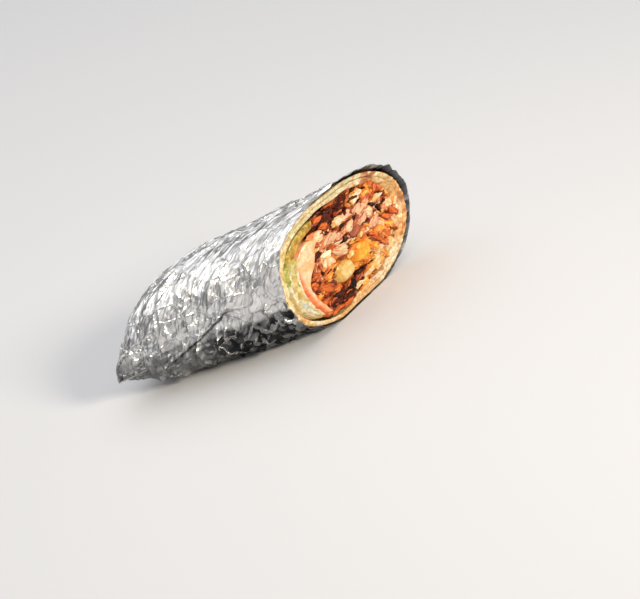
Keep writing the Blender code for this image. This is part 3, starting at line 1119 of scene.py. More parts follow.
@dataclass
class Flatbread:
    """The flatbread: one long sheet rolled from the top, so that it lies double over most of the way."""

    body: WrapBody
    depth: float = 92.0
    columns: int = 620
    rows: int = 36
    face_share: float = 0.34
    rounding: float = 0.5
    wobble: float = 0.22
    thin_waves: tuple[Wave, ...] = (Wave(1.0, 0.07, 1.0), Wave(0.7, 0.25, 2.0))
    swell_wave: Wave = Wave(1.0, 0.045, 8.0)
    swell_level: float = 0.25
    extra: float = 0.15
    end_rounding: float = 90.0
    end_thickness: float = 0.25
    crumb: float = 0.55
    crumb_waves: tuple[Wave, ...] = (Wave(1.0, 0.55, 4.0), Wave(0.5, 1.6, 7.0))
    raised: float = 0.4
    foil_room: float = 0.45
    layer_gap: float = 0.12
    swell: float = 1.5
    baked: Colour = shade(228, 200, 142)
    crumb_colour: Colour = shade(246, 238, 206)
    outside: Colour = shade(218, 184, 124)
    palest: Colour = shade(250, 244, 218)
    toasted: Colour = shade(178, 104, 46)
    flap_pale: Colour = shade(246, 222, 176)
    flap_soaked: Colour = shade(240, 184, 104)
    baking: Mottle = Mottle(0.35, 3.0, 1.4)
    pale_spots: Mottle = Mottle(0.5, 12.0, 1.8, -0.15)
    toast_spots: Mottle = Mottle(0.4, 15.0, 1.9, -0.1)
    toast_side: Pair = (-6.0, 20.0)
    crust: Pair = (0.3, 0.8)
    flap_crust: Pair = (0.6, 1.2)
    stains: tuple[Stain, ...] = (
        Stain(4, 27, 13, 3.5, shade(216, 212, 174)),
        Stain(-14, 25, 10, 3, shade(206, 204, 156), 0.85),
        Stain(27, 4, 6, 9, shade(222, 166, 100), 0.85),
        Stain(23, -9, 8, 8, shade(236, 166, 88), 0.9),
        Stain(22, 17, 5, 7, shade(214, 184, 124), 0.8),
        Stain(18, 21, 4, 3, shade(196, 112, 56), 0.6),
        Stain(-4, -25, 14, 3, shade(226, 170, 92), 0.7),
        Stain(-26, -12, 5, 6, shade(232, 180, 96), 0.7),
        Stain(-28, 4, 3, 8, shade(248, 226, 160), 0.8),
        Stain(-24, 18, 3, 4, shade(226, 208, 128), 0.8),
        Stain(25, 10, 3, 4, shade(190, 150, 92), 0.6),
        Stain(19, 22, 5, 3, shade(150, 82, 38), 0.6),
        Stain(27, -6, 3, 4, shade(234, 190, 128), 0.7),
        Stain(28, 1, 2.5, 3, shade(176, 104, 52), 0.6),
        Stain(26, -3, 2.5, 2.5, shade(252, 232, 196), 0.6),
        Stain(12, -22, 9, 4, shade(240, 226, 196), 0.75),
    )
    flap_turns: Pair = (262.0, 322.0)
    flap_depth: Pair = (0.6, 7.5)
    flap_columns: int = 120
    flap_walls: Pair = (2.4, 1.2)
    flap_least: float = 0.2
    flap_rounding: float = 8.0
    flap_wave: Wave = Wave(0.3, 0.2, 5.0)

    def _profile(self, w: float) -> Pair:
        """Where the strip's edge profile lies at w.

        Args:
            w: Share of the way round the profile, from deep on the outer side over the cut.

        Returns:
            The distance behind the cut and the share of the way through the sheet.
        """
        side = (1 - self.face_share) / 2
        if w < side:
            return self.rounding + (self.depth - self.rounding) * (1 - w / side) ** CROWDING, 0.0
        if w > 1 - side:
            past = (1 - (1 - w) / side) ** CROWDING
            return self.rounding + (self.depth - self.rounding) * past, 1.0
        s = (w - side) / self.face_share
        return self.rounding * abs(2 * s - 1) ** 4, s

    def _sheet_point(self, outer: float, inner: float, turn: float, w: float) -> Vector:
        """Point of a sheet that lies between two radii at an angle.

        Args:
            outer: Its outer radius.
            inner: Its inner radius.
            turn: Angle in degrees.
            w: Share of the way round the profile.

        Returns:
            The point.
        """
        back, through = self._profile(w)
        angle = math.radians(turn)
        radius = lerp(outer, inner, through)
        y, z = radius * math.cos(angle), radius * math.sin(angle)
        on_face = 1 - min(1.0, back / self.rounding)
        torn = self.crumb * waved(0.0, self.crumb_waves, y, z) * on_face
        push = self.raised * (0.5 + bumps(y, z, 0.16, 6.0)) * on_face + torn
        t = 1 - back / self.body.length
        share = self.body.outline(t, turn) / self.body.outline(1.0, turn)
        return self.body.at(t, y * share, z * share, push)

    def _roll(self, along: float, w: float) -> Vector:
        """Point of the rolled sheet at a share of the roll.

        Args:
            along: Share of the way along.
            w: Share of the way round the profile.

        Returns:
            The point.
        """
        dive_over = self.body.bread_dive
        turned = lerp(2 - dive_over, self.body.bread_turn, along)
        turn = self.body.bread_start - turned
        dive = ease((turned - 360 + dive_over) / dive_over)
        wedge = ease((turned + dive_over) / dive_over)
        step = (self.body.bread_wall + self.layer_gap) * dive
        outer = self.body.outline(1.0, turn) - self.foil_room - step
        thin = self.wobble * waved(1.0, self.thin_waves, turned)
        end = ease(along * self.end_rounding) * ease((1 - along) * self.end_rounding)
        thick = (self.body.bread_wall + self.extra - thin) * lerp(self.end_thickness, 1.0, end) * wedge
        thick += self.swell * dive * end * max(0.0, self.swell_wave.at(turned, 0.0) + self.swell_level)
        return self._sheet_point(outer, outer - thick, turn, w)

    def _flap(self, along: float, w: float) -> Vector:
        """Point of the roll's inner end, which curls in under the filling.

        Args:
            along: Share of the way along.
            w: Share of the way round the profile.

        Returns:
            The point.
        """
        turn = lerp(*self.flap_turns, along)
        outer = self.body.room(1.0, turn) - lerp(*self.flap_depth, along**1.5)
        rounded = self.flap_rounding
        thick = lerp(*self.flap_walls, along) * ease(along * rounded) * ease((1 - along) * rounded)
        thick += self.flap_least
        thick += self.flap_wave.at(turn, 0.0)
        return self._sheet_point(outer, outer - thick, turn, w)

    def build(self) -> None:
        """Builds the bread."""
        bm = mapped_grid(self.columns, self.rows, self._roll)
        flap = mapped_grid(self.flap_columns, self.rows, self._flap)
        paint(bm, self.body, self._colour)
        paint(flap, self.body, self._flap_colour)
        join(bm, flap)
        finished("flatbread_roll", bm, Food.BREAD.value.graph(), ["flatbread"])

    def _colour(self, y: float, z: float, back: float) -> Colour:
        """Colour of the bread: pale crumb in the cut, baked outside.

        Args:
            y: Place across the section.
            z: Height in the section.
            back: Distance behind the cut.

        Returns:
            The colour.
        """
        crumb = blend(self.crumb_colour, self.baked, self.baking.share(y, z))
        crumb = stained(crumb, self.stains, y, z)
        crumb = blend(crumb, self.palest, 0.8 * self.pale_spots.share(y, z))
        toast = 0.85 * self.toast_spots.share(y, z) * rise(y, self.toast_side)
        crumb = blend(crumb, self.toasted, toast)
        return blend(crumb, self.outside, rise(back, self.crust))

    def _flap_colour(self, y: float, z: float, back: float) -> Colour:
        """Colour of the inner end, pale and soaked at its tip.

        Args:
            y: Place across the section.
            z: Height in the section.
            back: Distance behind the cut.

        Returns:
            The colour.
        """
        soaked = ease(0.3 + bumps(y, z, 0.3, 9.0) + 0.03 * (y - 8))
        pale = blend(self.flap_pale, self.flap_soaked, soaked)
        return blend(pale, self.outside, rise(back, self.flap_crust))


def join(bm: Mesh, other: Mesh) -> None:
    """Adds another bmesh with the same layers to a bmesh and frees it.

    Args:
        bm: The mesh to add to.
        other: The mesh to add.
    """
    mesh = bpy.data.meshes.new("joined")
    other.to_mesh(mesh)
    other.free()
    bm.from_mesh(mesh)
    bpy.data.meshes.remove(mesh)


def paint(bm: Mesh, body: WrapBody, colour: Paint) -> None:
    """Gives every vertex a tint by its place in the cut, and grain coordinates in metres.

    Args:
        bm: The mesh, in the frame's metres.
        body: The wrap's sections.
        colour: Gives the tint at (y, z) of the section and a distance behind the cut.
    """
    tint = bm.verts.layers.float_color.new("tint")
    grain = bm.verts.layers.float_vector.new("grain")
    for vert in bm.verts:
        x, y, z = (vert.co - body.origin) / MM
        back = body.length + body.cut_lean * y - x
        height = z - body.centre_height(max(0.02, min(1.0, 1 - back / body.length)))
        vert[tint] = colour(y, height, back)
        vert[grain] = vert.co


@dataclass(frozen=True)
class Band:
    """A layer of filling between an outer and an inner line of the cut, that runs back into the wrap."""

    outer: Line
    inner: Line
    depth: float = 85.0
    columns: int = 150
    rows: int = 44
    face_share: float = 0.4
    rounding: float = 0.9
    proud: float = 0.4
    relief: float = 0.35
    relief_scale: float = 0.5
    ends: float = 14.0

    def mesh(self, body: WrapBody) -> Mesh:
        """Builds the layer's closed mesh.

        Args:
            body: The wrap's sections.

        Returns:
            The mesh.
        """
        side = (1 - self.face_share) / 2

        def place(along: float, w: float) -> Vector:
            """Point of the layer.

            Args:
                along: Share of the way along.
                w: Share of the way round the profile.

            Returns:
                The point.
            """
            (y0, z0), (y1, z1) = self.outer(along), self.inner(along)
            past = max(0.0, 1 - min(w, 1 - w) / side)
            back = self.rounding + (self.depth - self.rounding) * past**CROWDING
            s = min(1.0, max(0.0, (w - side) / self.face_share))
            taper = math.sqrt(max(0.0, 1 - (1 - min(1.0, self.ends * min(along, 1 - along))) ** 2))
            s = 0.5 + (s - 0.5) * lerp(0.06, 1.0, taper)
            y, z = lerp(y0, y1, s), lerp(z0, z1, s)
            if past == 0.0:
                crown = 1 - abs(2 * (w - side) / self.face_share - 1) ** 3
                rough = bumps(y, z, self.relief_scale, 1.0)
                rough += 0.5 * bumps(y, z, self.relief_scale * 2.6, 2.0)
                back = self.rounding - (self.rounding + self.proud) * crown - self.relief * rough * crown
            return body.filling(y, z, back)

        return mapped_grid(self.columns, self.rows, place)


@dataclass(frozen=True)
class Leaf:
    """A ruffled leaf edge or rib of lettuce.

    It lies at a middle share of the way from the tomato to the bread, between two angles. The seed
    picks its ruffle, and its tones go from rib to edge.
    """

    middle: float
    thick: float
    first: float
    last: float
    seed: float
    tones: Tones


@dataclass
class Vegetables:
    """The layers on the wrap's left: tomato, pickled gherkin and dressed salad."""

    body: WrapBody
    tomato_ends: Pair = (-20.0, 17.0)
    skin_at: float = -21.5
    skin_middle: float = 1.0
    skin_radius: float = 42.0
    tomato_round: float = 6.0
    tomato_curl: float = 2.6
    tomato_thin: float = 2.6
    tomato_swell: float = 6.4
    swell_from: float = -4.0
    swell_over: float = 13.0
    pickle_turns: Pair = (113.0, 149.0)
    pickle_depth: float = 4.4
    pickle_ends: Pair = (0.12, 0.88)
    salad_turns: Pair = (152.0, 226.0)
    salad_most: float = 9.0
    flesh_pale: Colour = shade(255, 216, 172)
    flesh_deep: Colour = shade(252, 190, 132)
    seed_side: Colour = shade(240, 138, 76)
    flesh_low: Colour = shade(250, 176, 122)
    skin_red: Colour = shade(232, 104, 52)
    skin_orange: Colour = shade(238, 140, 82)
    skin_width: float = 0.55
    juicy_pale: Colour = shade(226, 186, 78)
    juicy_deep: Colour = shade(182, 130, 22)
    juicy_low: Colour = shade(128, 88, 18)
    rind_deep: Colour = shade(166, 140, 42)
    rind_pale: Colour = shade(206, 182, 90)
    leaf_white: Tones = (shade(240, 236, 212), shade(226, 212, 166), shade(210, 180, 114))
    leaf_yellow: Tones = (shade(234, 214, 158), shade(222, 180, 102), shade(192, 162, 78))
    leaf_green: Tones = (shade(216, 208, 124), shade(182, 180, 82), shade(146, 152, 58))
    leaf_cool: Tones = (shade(232, 238, 232), shade(206, 218, 212), shade(244, 232, 200))
    cream: Colour = shade(252, 240, 204)
    cream_deep: Colour = shade(246, 226, 160)
    cream_green: Colour = shade(186, 176, 78)
    cream_orange: Colour = shade(238, 176, 92)

    def skin(self, z: float) -> float:
        """Y of the tomato's skin at height z.

        Args:
            z: Height in the section.

        Returns:
            The skin.
        """
        low, high = self.tomato_ends
        height = max(low, min(high, z))
        bow = self.skin_radius - math.sqrt(self.skin_radius**2 - (height - self.skin_middle) ** 2)
        curl = self.tomato_curl * ease((height - high + self.tomato_round) / self.tomato_round)
        return self.skin_at + bow + curl

    def flesh(self, z: float) -> float:
        """Y of the tomato's inner side at height z."""
        swell = self.tomato_swell * ease((z - self.swell_from) / self.swell_over)
        return self.skin(z) + self.tomato_thin + swell

    def _inwards(self, degrees: float, depth: float) -> Pair:
        """Point of the cut at a depth inside the bread."""
        radius = self.body.room(1.0, degrees) - depth
        return radius * math.cos(math.radians(degrees)), radius * math.sin(math.radians(degrees))

    def tomato(self) -> None:
        """Builds the tomato slice."""
        low, high = self.tomato_ends

        def outer(along: float) -> Pair:
            """Point of the skin."""
            z = lerp(low, high, along)
            return self.skin(z), z

        def inner(along: float) -> Pair:
            """Point of the flesh's inner side."""
            z = lerp(low, high, along)
            return self.flesh(z) + 0.5 * bumps(z, 0.0, 0.35, 4.0), z

        def colour(y: float, z: float, back: float) -> Colour:
            """Skin red at the left, peach flesh with a deeper seed side.

            Args:
                y: Place across the section.
                z: Height in the section.
                back: Distance behind the cut. Not used.

            Returns:
                The colour.
            """
            across = (y - self.skin(z)) / max(0.5, self.flesh(z) - self.skin(z))
            flesh = blend(self.flesh_pale, self.flesh_deep, Mottle(0.22, 3.0, 1.2).share(y, z))
            flesh = blend(flesh, self.seed_side, ease((across - 0.88) / 0.12) * 0.7)
            flesh = blend(flesh, self.flesh_low, ease((-z - 2) / 8) * 0.5)
            edge = self.skin_width / max(0.5, self.flesh(z) - self.skin(z))
            skin = blend(self.skin_red, self.skin_orange, Mottle(0.3, 8.0, 1.0).share(z, 0.0))
            skin = blend(skin, flesh, 0.75 * ease((z - 3) / 6))
            return blend(skin, flesh, ease((across - edge * 0.5) / (edge * 1.4)))

        bm = Band(outer, inner, proud=0.9, relief=0.3, relief_scale=0.35).mesh(self.body)
        paint(bm, self.body, colour)
        finished("tomato_flesh", bm, Food.TOMATO.value.graph(), ["tomato_slice"])

    def pickle(self) -> None:
        """Builds the gherkin slice."""
        first, last = self.pickle_turns
        cap, cap_end = self.pickle_ends

        def depth(along: float) -> float:
            """Thickness of the slice."""
            towards_end = min(along / cap, (1 - along) / (1 - cap_end))
            return self.pickle_depth * math.sqrt(max(0.05, min(1.0, towards_end)))

        def inner(along: float) -> Pair:
            """Point of the slice's inner side."""
            return self._inwards(lerp(first, last, along), depth(along))

        def outer(along: float) -> Pair:
            """Point of the slice's side on the bread."""
            return self._inwards(lerp(first, last, along), 0.1)

        def colour(y: float, z: float, back: float) -> Colour:
            """Olive rind against the bread, paler juicy inside.

            Args:
                y: Place across the section.
                z: Height in the section.
                back: Distance behind the cut. Not used.

            Returns:
                The colour.
            """
            degrees = math.degrees(math.atan2(z, y)) % 360
            inside = (self.body.room(1.0, degrees) - math.hypot(y, z)) / self.pickle_depth
            juicy = blend(self.juicy_pale, self.juicy_deep, Mottle(0.4, 3.0, 1.6).share(y, z))
            juicy = blend(juicy, self.juicy_low, 0.75 * ease((13.5 - z) / 2.5))
            rind = blend(self.rind_deep, self.rind_pale, Mottle(0.7, 5.0, 1.5).share(y, z))
            return blend(rind, juicy, ease((inside - 0.1) / 0.25))

        bm = Band(outer, inner, columns=110, proud=0.3, relief=0.45, relief_scale=0.6).mesh(self.body)
        paint(bm, self.body, colour)
        finished("gherkin_strip", bm, Food.GHERKIN.value.graph(), ["pickle_slice"])

    def _leaf(self, leaf: Leaf) -> Mesh:
        """Builds one leaf.

        Args:
            leaf: Its place, size and colours.

        Returns:
            The leaf's mesh.
        """
        seed = leaf.seed

        def line(along: float, side: float) -> Pair:
            """Point of one side of the leaf.

            Args:
                along: Share of the way along the leaf.
                side: 1 for one side and -1 for the other.

            Returns:
                The point.
            """
            y1, z1 = self._inwards(lerp(leaf.first, leaf.last, along), 0.25)
            y0 = min(self.skin(z1) - 0.3, y1 + self.salad_most)
            ruffle = 0.16 * bumps(along * 7, 0.0, 1.0, seed) + 0.1 * bumps(along * 19, 0.0, 1.0, seed + 3)
            share = min(1.0, max(0.0, leaf.middle + ruffle))
            width = max(0.6, y0 - y1)
            swell = 0.75 + 0.6 * bumps(along * 5, 0.0, 1.0, seed + 7)
            half = min(leaf.thick * max(0.3, swell) / 2 / width, 0.5)
            share = min(1 - half, max(half, share)) + side * half
            return lerp(y0, y1, share), z1

        def colour(y: float, z: float, back: float) -> Colour:
            """Veined tones along the leaf.

            Args:
                y: Place across the section.
                z: Height in the section.
                back: Distance behind the cut. Not used.

            Returns:
                The colour.
            """
            rib, blade, edge = leaf.tones
            tone = blend(rib, blade, Mottle(0.5, seed, 1.3).share(y, z))
            return blend(tone, edge, Mottle(0.23, seed + 11, 1.5, 0.2).share(y, z))

        band = Band(
            lambda a: line(a, 1.0), lambda a: line(a, -1.0), columns=150, rows=30, depth=60.0,
            proud=0.35 + 0.5 * (seed % 3) / 3, relief=0.5, relief_scale=0.55, rounding=0.6,
        )
        bm = band.mesh(self.body)
        paint(bm, self.body, colour)
        return bm

    def salad(self) -> None:
        """Builds the lettuce."""
        white, yellow, green, cool = self.leaf_white, self.leaf_yellow, self.leaf_green, self.leaf_cool
        first, last = self.salad_turns
        nearest, *others = (
            Leaf(0.10, 1.6, first + 6, last - 2, 1.0, white),
            Leaf(0.38, 1.5, first + 2, last, 5.0, yellow),
            Leaf(0.62, 1.4, first, last - 6, 9.0, white),
            Leaf(0.82, 1.0, first - 1, last - 56, 13.0, green),
            Leaf(0.84, 1.1, first + 18, last - 10, 15.0, white),
            Leaf(0.50, 1.9, first + 38, last - 8, 17.0, cool),
            Leaf(0.93, 0.8, first + 24, last, 21.0, yellow),
            Leaf(0.22, 0.8, first, first + 26, 25.0, green),
        )
        bm = self._leaf(nearest)
        for leaf in others:
            join(bm, self._leaf(leaf))
        finished("lettuce_leaves", bm, Food.LETTUCE.value.graph(), ["salad"])

    def dressing(self) -> None:
        """Builds the garlic dressing that fills the salad behind its leaves."""
        first, last = self.salad_turns

        def outer(along: float) -> Pair:
            """Point of the dressing at the bread."""
            return self._inwards(lerp(first - 2, last, along), 0.2)

        def inner(along: float) -> Pair:
            """Point of the dressing at the tomato."""
            y1, z1 = outer(along)
            return max(y1 + 0.5, min(self.skin(z1) - 0.15, y1 + self.salad_most)), z1

        def colour(y: float, z: float, back: float) -> Colour:
            """Cream, stained orange low down and green above.

            Args:
                y: Place across the section.
                z: Height in the section.
                back: Distance behind the cut. Not used.

            Returns:
                The colour.
            """
            cream = blend(self.cream, self.cream_deep, Mottle(0.3, 2.0, 1.3).share(y, z))
            cream = blend(cream, self.cream_green, 0.8 * ease((z - 5) / 5))
            return blend(cream, self.cream_orange, 0.7 * ease((-z - 12) / 6 + bumps(y, z, 0.4, 4.0)))

        bm = Band(outer, inner, proud=-0.9, relief=0.7, relief_scale=0.45, rounding=1.6).mesh(self.body)
        paint(bm, self.body, colour)
        finished("garlic_dressing", bm, Food.DRESSING.value.graph(), ["salad"])

    def build(self) -> None:
        """Builds the layers."""
        self.tomato()
        self.pickle()
        self.salad()
        self.dressing()


@dataclass(frozen=True)
class Tone:
    """Colours of a kind of morsel: where the knife cut it, on its cooked side, and how fibrous it is."""

    cut: Colour
    side: Colour
    fibre: float = 0.3
    lump: float = 0.35


class Kind(Enum):
    """What a morsel of the filling is."""

    PINK = Tone(shade(253, 198, 156), shade(184, 72, 24), 0.6, 0.5)
    PEACH = Tone(shade(254, 218, 174), shade(220, 116, 46), 0.48, 0.5)
    CREAM = Tone(shade(254, 242, 208), shade(244, 198, 116), 0.22, 0.45)
    ROAST = Tone(shade(218, 108, 32), shade(126, 42, 8), 0.75, 0.7)
    DARK = Tone(shade(92, 34, 10), shade(42, 13, 4), 0.75, 0.8)
    MAUVE = Tone(shade(176, 100, 66), shade(108, 40, 14), 0.6, 0.5)
    CHAR = Tone(shade(22, 18, 20), shade(6, 5, 6), 0.6, 0.8)
    SOAKED = Tone(shade(254, 186, 82), shade(240, 130, 26), 0.55, 0.5)
    SOFT = Tone(shade(252, 220, 160), shade(246, 176, 88), 0.45, 0.7)
    FIBRE = Tone(shade(238, 132, 54), shade(184, 66, 14), 0.7, 0.5)


PINK, PEACH, CREAM, ROAST, DARK, MAUVE, CHAR, SOAKED, SOFT, FIBRE = Kind


@dataclass(frozen=True)
class Zone:
    """A region of the cut, round a place in millimetres, and the kinds of small bits that lie there."""

    y: float
    z: float
    kinds: tuple[Kind, ...]


@dataclass(frozen=True)
class Morsel:
    """A piece of the filling, by its place and size in the cut in millimetres."""

    y: float
    z: float
    wide: float
    high: float
    kind: Kind
    turn: float = 0.0
    back: float = 0.0


@dataclass(frozen=True)
class Bits:
    """Small morsels strewn between the placed ones: how many, their sizes and their place behind the cut."""

    count: int
    detail: int
    wide: Pair
    high: Pair
    back: Pair
    combed: bool = False


@dataclass(frozen=True)
class Strands:
    """Ridges that run along a morsel's width."""

    level: float
    depth: float
    along: float
    across: float

    def height(self, point: Vector, seed: Vector) -> float:
        """Height of the ridges at a point of the morsel."""
        stretched = Vector((point.y * self.along, point.z * self.across, point.x * self.across))
        return self.level - self.depth * abs(noise.noise(stretched + seed))


@dataclass
class ChickenFilling:
    """Carved, roasted chicken in its sauce: cut chunks, fibres and browned crumbs over a saucy core."""

    body: WrapBody
    vegetables: Vegetables
    middle: Pair = (4.0, 0.0)
    clear: float = 0.5
    over_bread: float = 2.2
    fine: int = 5
    coarse: int = 4
    fine_from: float = 15.0
    seed: int = 7
    morsels: tuple[Morsel, ...] = tuple(Morsel(*row) for row in (
        (-2.5, 19.5, 6.5, 6.5, DARK, 20, 0.6), (3.5, 20.8, 8.0, 6.0, DARK, -12, 0.2),
        (7.0, 16.8, 4.5, 4.0, DARK, 30, 0.8), (-7.6, 21.8, 5.0, 3.6, ROAST, 15, 0.4),
        # The thin DARK morsel at (-9.5, 18.6), sunk behind the cut over the tomato, is partly painted shade:
        # dark meat laid into a shaded gap.
        (-4.8, 16.2, 4.5, 4.0, ROAST, -30, 0.9), (-9.5, 18.6, 6.0, 2.4, DARK, 10, 1.6),
        (0.4, 23.4, 6.0, 2.6, ROAST, -8, 0.5), (9.0, 22.0, 5.0, 3.0, ROAST, -35, 0.7),
        (-0.3, 13.8, 3.9, 5.0, CREAM, 10, -0.9), (10.3, 17.5, 6.5, 5.0, CREAM, 62, -0.5),
        (14.6, 16.2, 7.5, 4.0, SOAKED, 66, 0.2), (18.0, 17.0, 8.0, 3.2, FIBRE, -62, 0.3),
        (21.2, 13.0, 7.2, 3.0, FIBRE, -60, 0.4), (17.3, 12.4, 5.0, 2.8, ROAST, -40, 0.8),
        (18.8, 9.4, 6.2, 3.8, CREAM, 5, -0.4), (21.6, 3.0, 5.6, 5.2, PEACH, 70, -0.8),
        (23.6, 8.0, 5.0, 2.6, SOAKED, -70, 0.2), (18.0, 3.2, 5.6, 3.4, DARK, 80, 2.2),
        (5.6, 3.6, 8.5, 6.6, MAUVE, 15, 0.2), (4.4, 12.6, 6.6, 5.6, PINK, -25, -0.6),
        (9.2, 11.4, 6.2, 6.2, PINK, 40, -0.2), (3.8, 8.0, 6.8, 4.6, PEACH, 10, -0.5),
        (9.4, 6.2, 5.6, 5.2, PINK, 70, -0.8), (13.4, 11.6, 6.0, 5.0, PINK, 60, 0.0),
        (13.6, 6.6, 7.0, 5.6, PEACH, -65, -0.7), (13.5, 1.0, 6.8, 6.2, PINK, 60, -0.7),
        (9.4, 0.4, 5.8, 4.4, PEACH, -20, -0.1), (17.2, -2.8, 6.0, 5.2, PEACH, -45, -0.2),
        (-10.2, 14.6, 10.5, 6.0, PEACH, -30, -0.5), (-6.8, 10.0, 8.2, 6.2, PEACH, 35, -1.2),
        (-2.6, 8.0, 6.0, 5.6, PINK, 50, -0.5), (-9.2, 1.4, 7.6, 6.8, PEACH, 65, -0.8),
        (-9.0, 4.6, 5.6, 4.0, CREAM, -10, -1.1), (-3.2, 1.4, 9.0, 6.6, PEACH, -48, -1.1),
        (-5.6, 5.6, 4.2, 3.0, ROAST, 0, 0.3), (-14.6, -0.6, 6.8, 5.4, ROAST, -70, 0.3),
        (-16.2, -5.6, 5.6, 3.6, ROAST, -72, 0.6), (-12.6, -9.8, 8.8, 6.4, ROAST, -50, -0.3),
        (-10.2, -5.2, 5.4, 4.6, SOAKED, 20, -0.2), (-10.8, -22.4, 7.6, 3.6, ROAST, -18, 0.2),
        (-15.6, -19.2, 6.2, 3.4, FIBRE, -45, 0.3), (0.6, -24.6, 9.0, 2.4, SOAKED, 0, 0.3),
        (7.4, -14.6, 7.4, 5.0, SOAKED, 40, 0.0), (-13.4, 3.4, 4.4, 3.2, MAUVE, 60, 0.6),
        (-9.4, -13.4, 5.4, 3.6, FIBRE, -30, 0.0), (-14.6, -14.6, 5.6, 3.0, FIBRE, -48, 0.4),
        (-11.2, -18.4, 7.0, 5.4, DARK, -20, 0.3), (-6.2, -19.8, 5.2, 5.0, DARK, 30, 0.4),
        (-1.8, -17.8, 3.6, 4.4, CHAR, 0, 0.0), (-2.6, -21.6, 7.4, 3.6, DARK, 8, 0.1),
        (-8.6, -16.6, 5.0, 2.6, DARK, -35, -0.2), (2.4, -16.4, 6.0, 3.4, DARK, -12, 0.5),
        (-5.2, -23.2, 7.6, 2.6, ROAST, -2, 0.4), (2.6, -21.6, 7.0, 4.0, SOAKED, 8, 0.1),
        (4.6, -4.2, 6.6, 4.2, SOAKED, -30, -0.1), (9.4, -5.4, 8.8, 4.6, SOAKED, -58, -0.4),
        (6.4, -10.6, 7.2, 4.0, SOAKED, -60, 0.3), (12.6, -12.2, 6.2, 4.2, PEACH, -50, -0.1),
        (14.6, -8.0, 5.6, 2.6, FIBRE, -58, 0.2), (18.0, -9.0, 8.4, 3.0, SOAKED, -62, -0.2),
        (21.6, -5.0, 6.8, 4.4, PEACH, -65, -0.2), (11.5, -17.8, 11.5, 6.0, SOFT, 30, 0.2),
        (18.4, -13.6, 9.5, 6.4, SOFT, 52, 0.1), (23.2, -9.4, 7.6, 4.8, SOFT, 68, 0.3),
        (12.6, -4.8, 8.5, 2.4, FIBRE, -58, -0.9), (16.6, -8.8, 8.5, 2.2, FIBRE, -60, -0.9),
        (10.4, -9.4, 7.5, 2.6, SOAKED, -62, -1.1), (19.8, -6.6, 7.5, 2.6, SOAKED, -62, -0.9),
        (26.2, 1.6, 5.6, 3.4, PEACH, 75, 0.0), (26.0, -6.6, 6.0, 3.2, CREAM, 66, -0.1),
        (21.8, 17.6, 4.4, 2.8, ROAST, -48, 0.0), (25.4, -3.4, 6.4, 3.6, CREAM, 82, 0.3),
        (25.6, 7.4, 6.4, 3.0, SOFT, -72, 0.5), (24.6, 2.4, 6.0, 2.4, SOAKED, 85, 0.6),
        (-15.6, -10.6, 5.0, 2.4, SOAKED, -62, 0.4), (6.4, 20.0, 3.4, 2.4, ROAST, 40, -0.4),
        (1.2, 17.4, 4.0, 3.0, ROAST, -20, -0.2), (14.4, 20.2, 5.2, 2.6, ROAST, -42, 0.6),
        (-12.6, 7.4, 4.6, 2.8, DARK, 40, -0.3), (-11.4, -1.6, 3.4, 2.4, DARK, -60, -0.2),
        (0.6, 4.4, 3.6, 3.2, DARK, 30, -0.4), (0.2, 0.0, 4.6, 2.6, DARK, -50, -0.5),
        # The DARK morsel at (-8.6, -3.8), at the pale fry's top left, is partly painted shade: dark meat laid
        # into a shaded gap.
        (-8.6, -3.8, 4.2, 1.8, DARK, -25, -0.1), (-6.6, 14.0, 5.4, 2.2, DARK, -70, -0.4),
        (15.6, 8.6, 5.8, 1.8, DARK, -42, -0.6), (17.8, 4.6, 6.6, 2.0, DARK, -66, -0.6),
        (10.8, 4.0, 3.0, 1.6, DARK, 20, -0.5), (6.8, 9.8, 3.4, 1.4, DARK, 60, -0.7),
        (0.8, 10.6, 3.0, 1.4, DARK, 15, -0.6), (18.6, -1.4, 7.4, 1.7, ROAST, -60, -1.0),
        (15.0, -11.6, 8.2, 1.8, FIBRE, -55, -1.1), (21.0, -8.8, 7.6, 1.6, ROAST, -62, -0.9),
        (22.8, -1.6, 7.0, 1.5, FIBRE, -72, -0.9), (12.2, -7.4, 7.6, 1.7, ROAST, -58, -1.2),
        (19.6, 20.2, 5.4, 1.5, DARK, -46, -0.5),
    ))
    bits: tuple[Bits, ...] = (
        Bits(60, 4, (2.2, 4.6), (1.5, 2.8), (0.5, 1.9)),
        Bits(170, 3, (3.0, 7.5), (0.7, 1.3), (-0.5, 1.1), combed=True),
        Bits(150, 2, (0.5, 1.5), (0.4, 1.0), (-0.9, 0.6)),
    )
    lie_right: float = -48.0
    lie_left: float = 20.0
    lie_from: float = 2.0
    lie_spread: float = 42.0
    zones: tuple[Zone, ...] = (
        Zone(0, 20, (DARK, ROAST, DARK)),
        Zone(10, 19, (DARK, ROAST, SOAKED)),
        Zone(19, 14, (FIBRE, ROAST, SOFT, SOAKED)),
        Zone(19, 3, (ROAST, PEACH, DARK, SOAKED)),
        Zone(7, 8, (PINK, PEACH, ROAST, PINK, MAUVE)),
        Zone(-5, 8, (PEACH, PINK, CREAM, ROAST)),
        Zone(-8, 0, (SOAKED, PEACH, ROAST)),
        Zone(-14, -4, (ROAST, FIBRE, PINK)),
        Zone(-11, -12, (ROAST, SOAKED, FIBRE)),
        Zone(-7, -19, (DARK, ROAST, DARK, ROAST)),
        Zone(2, -19, (DARK, ROAST, SOAKED)),
        Zone(9, -4, (SOAKED, SOFT, SOAKED, FIBRE)),
        Zone(17, -7, (SOAKED, FIBRE, SOFT)),
        Zone(12, -16, (SOFT, SOFT, SOAKED)),
        Zone(23, -5, (PEACH, CREAM, SOAKED)),
    )
    fry_spots: tuple[Triple, ...] = ((-2.8, -9.4, 5.6), (5.4, -7.6, 4.4), (14.8, -6.4, 4.6))
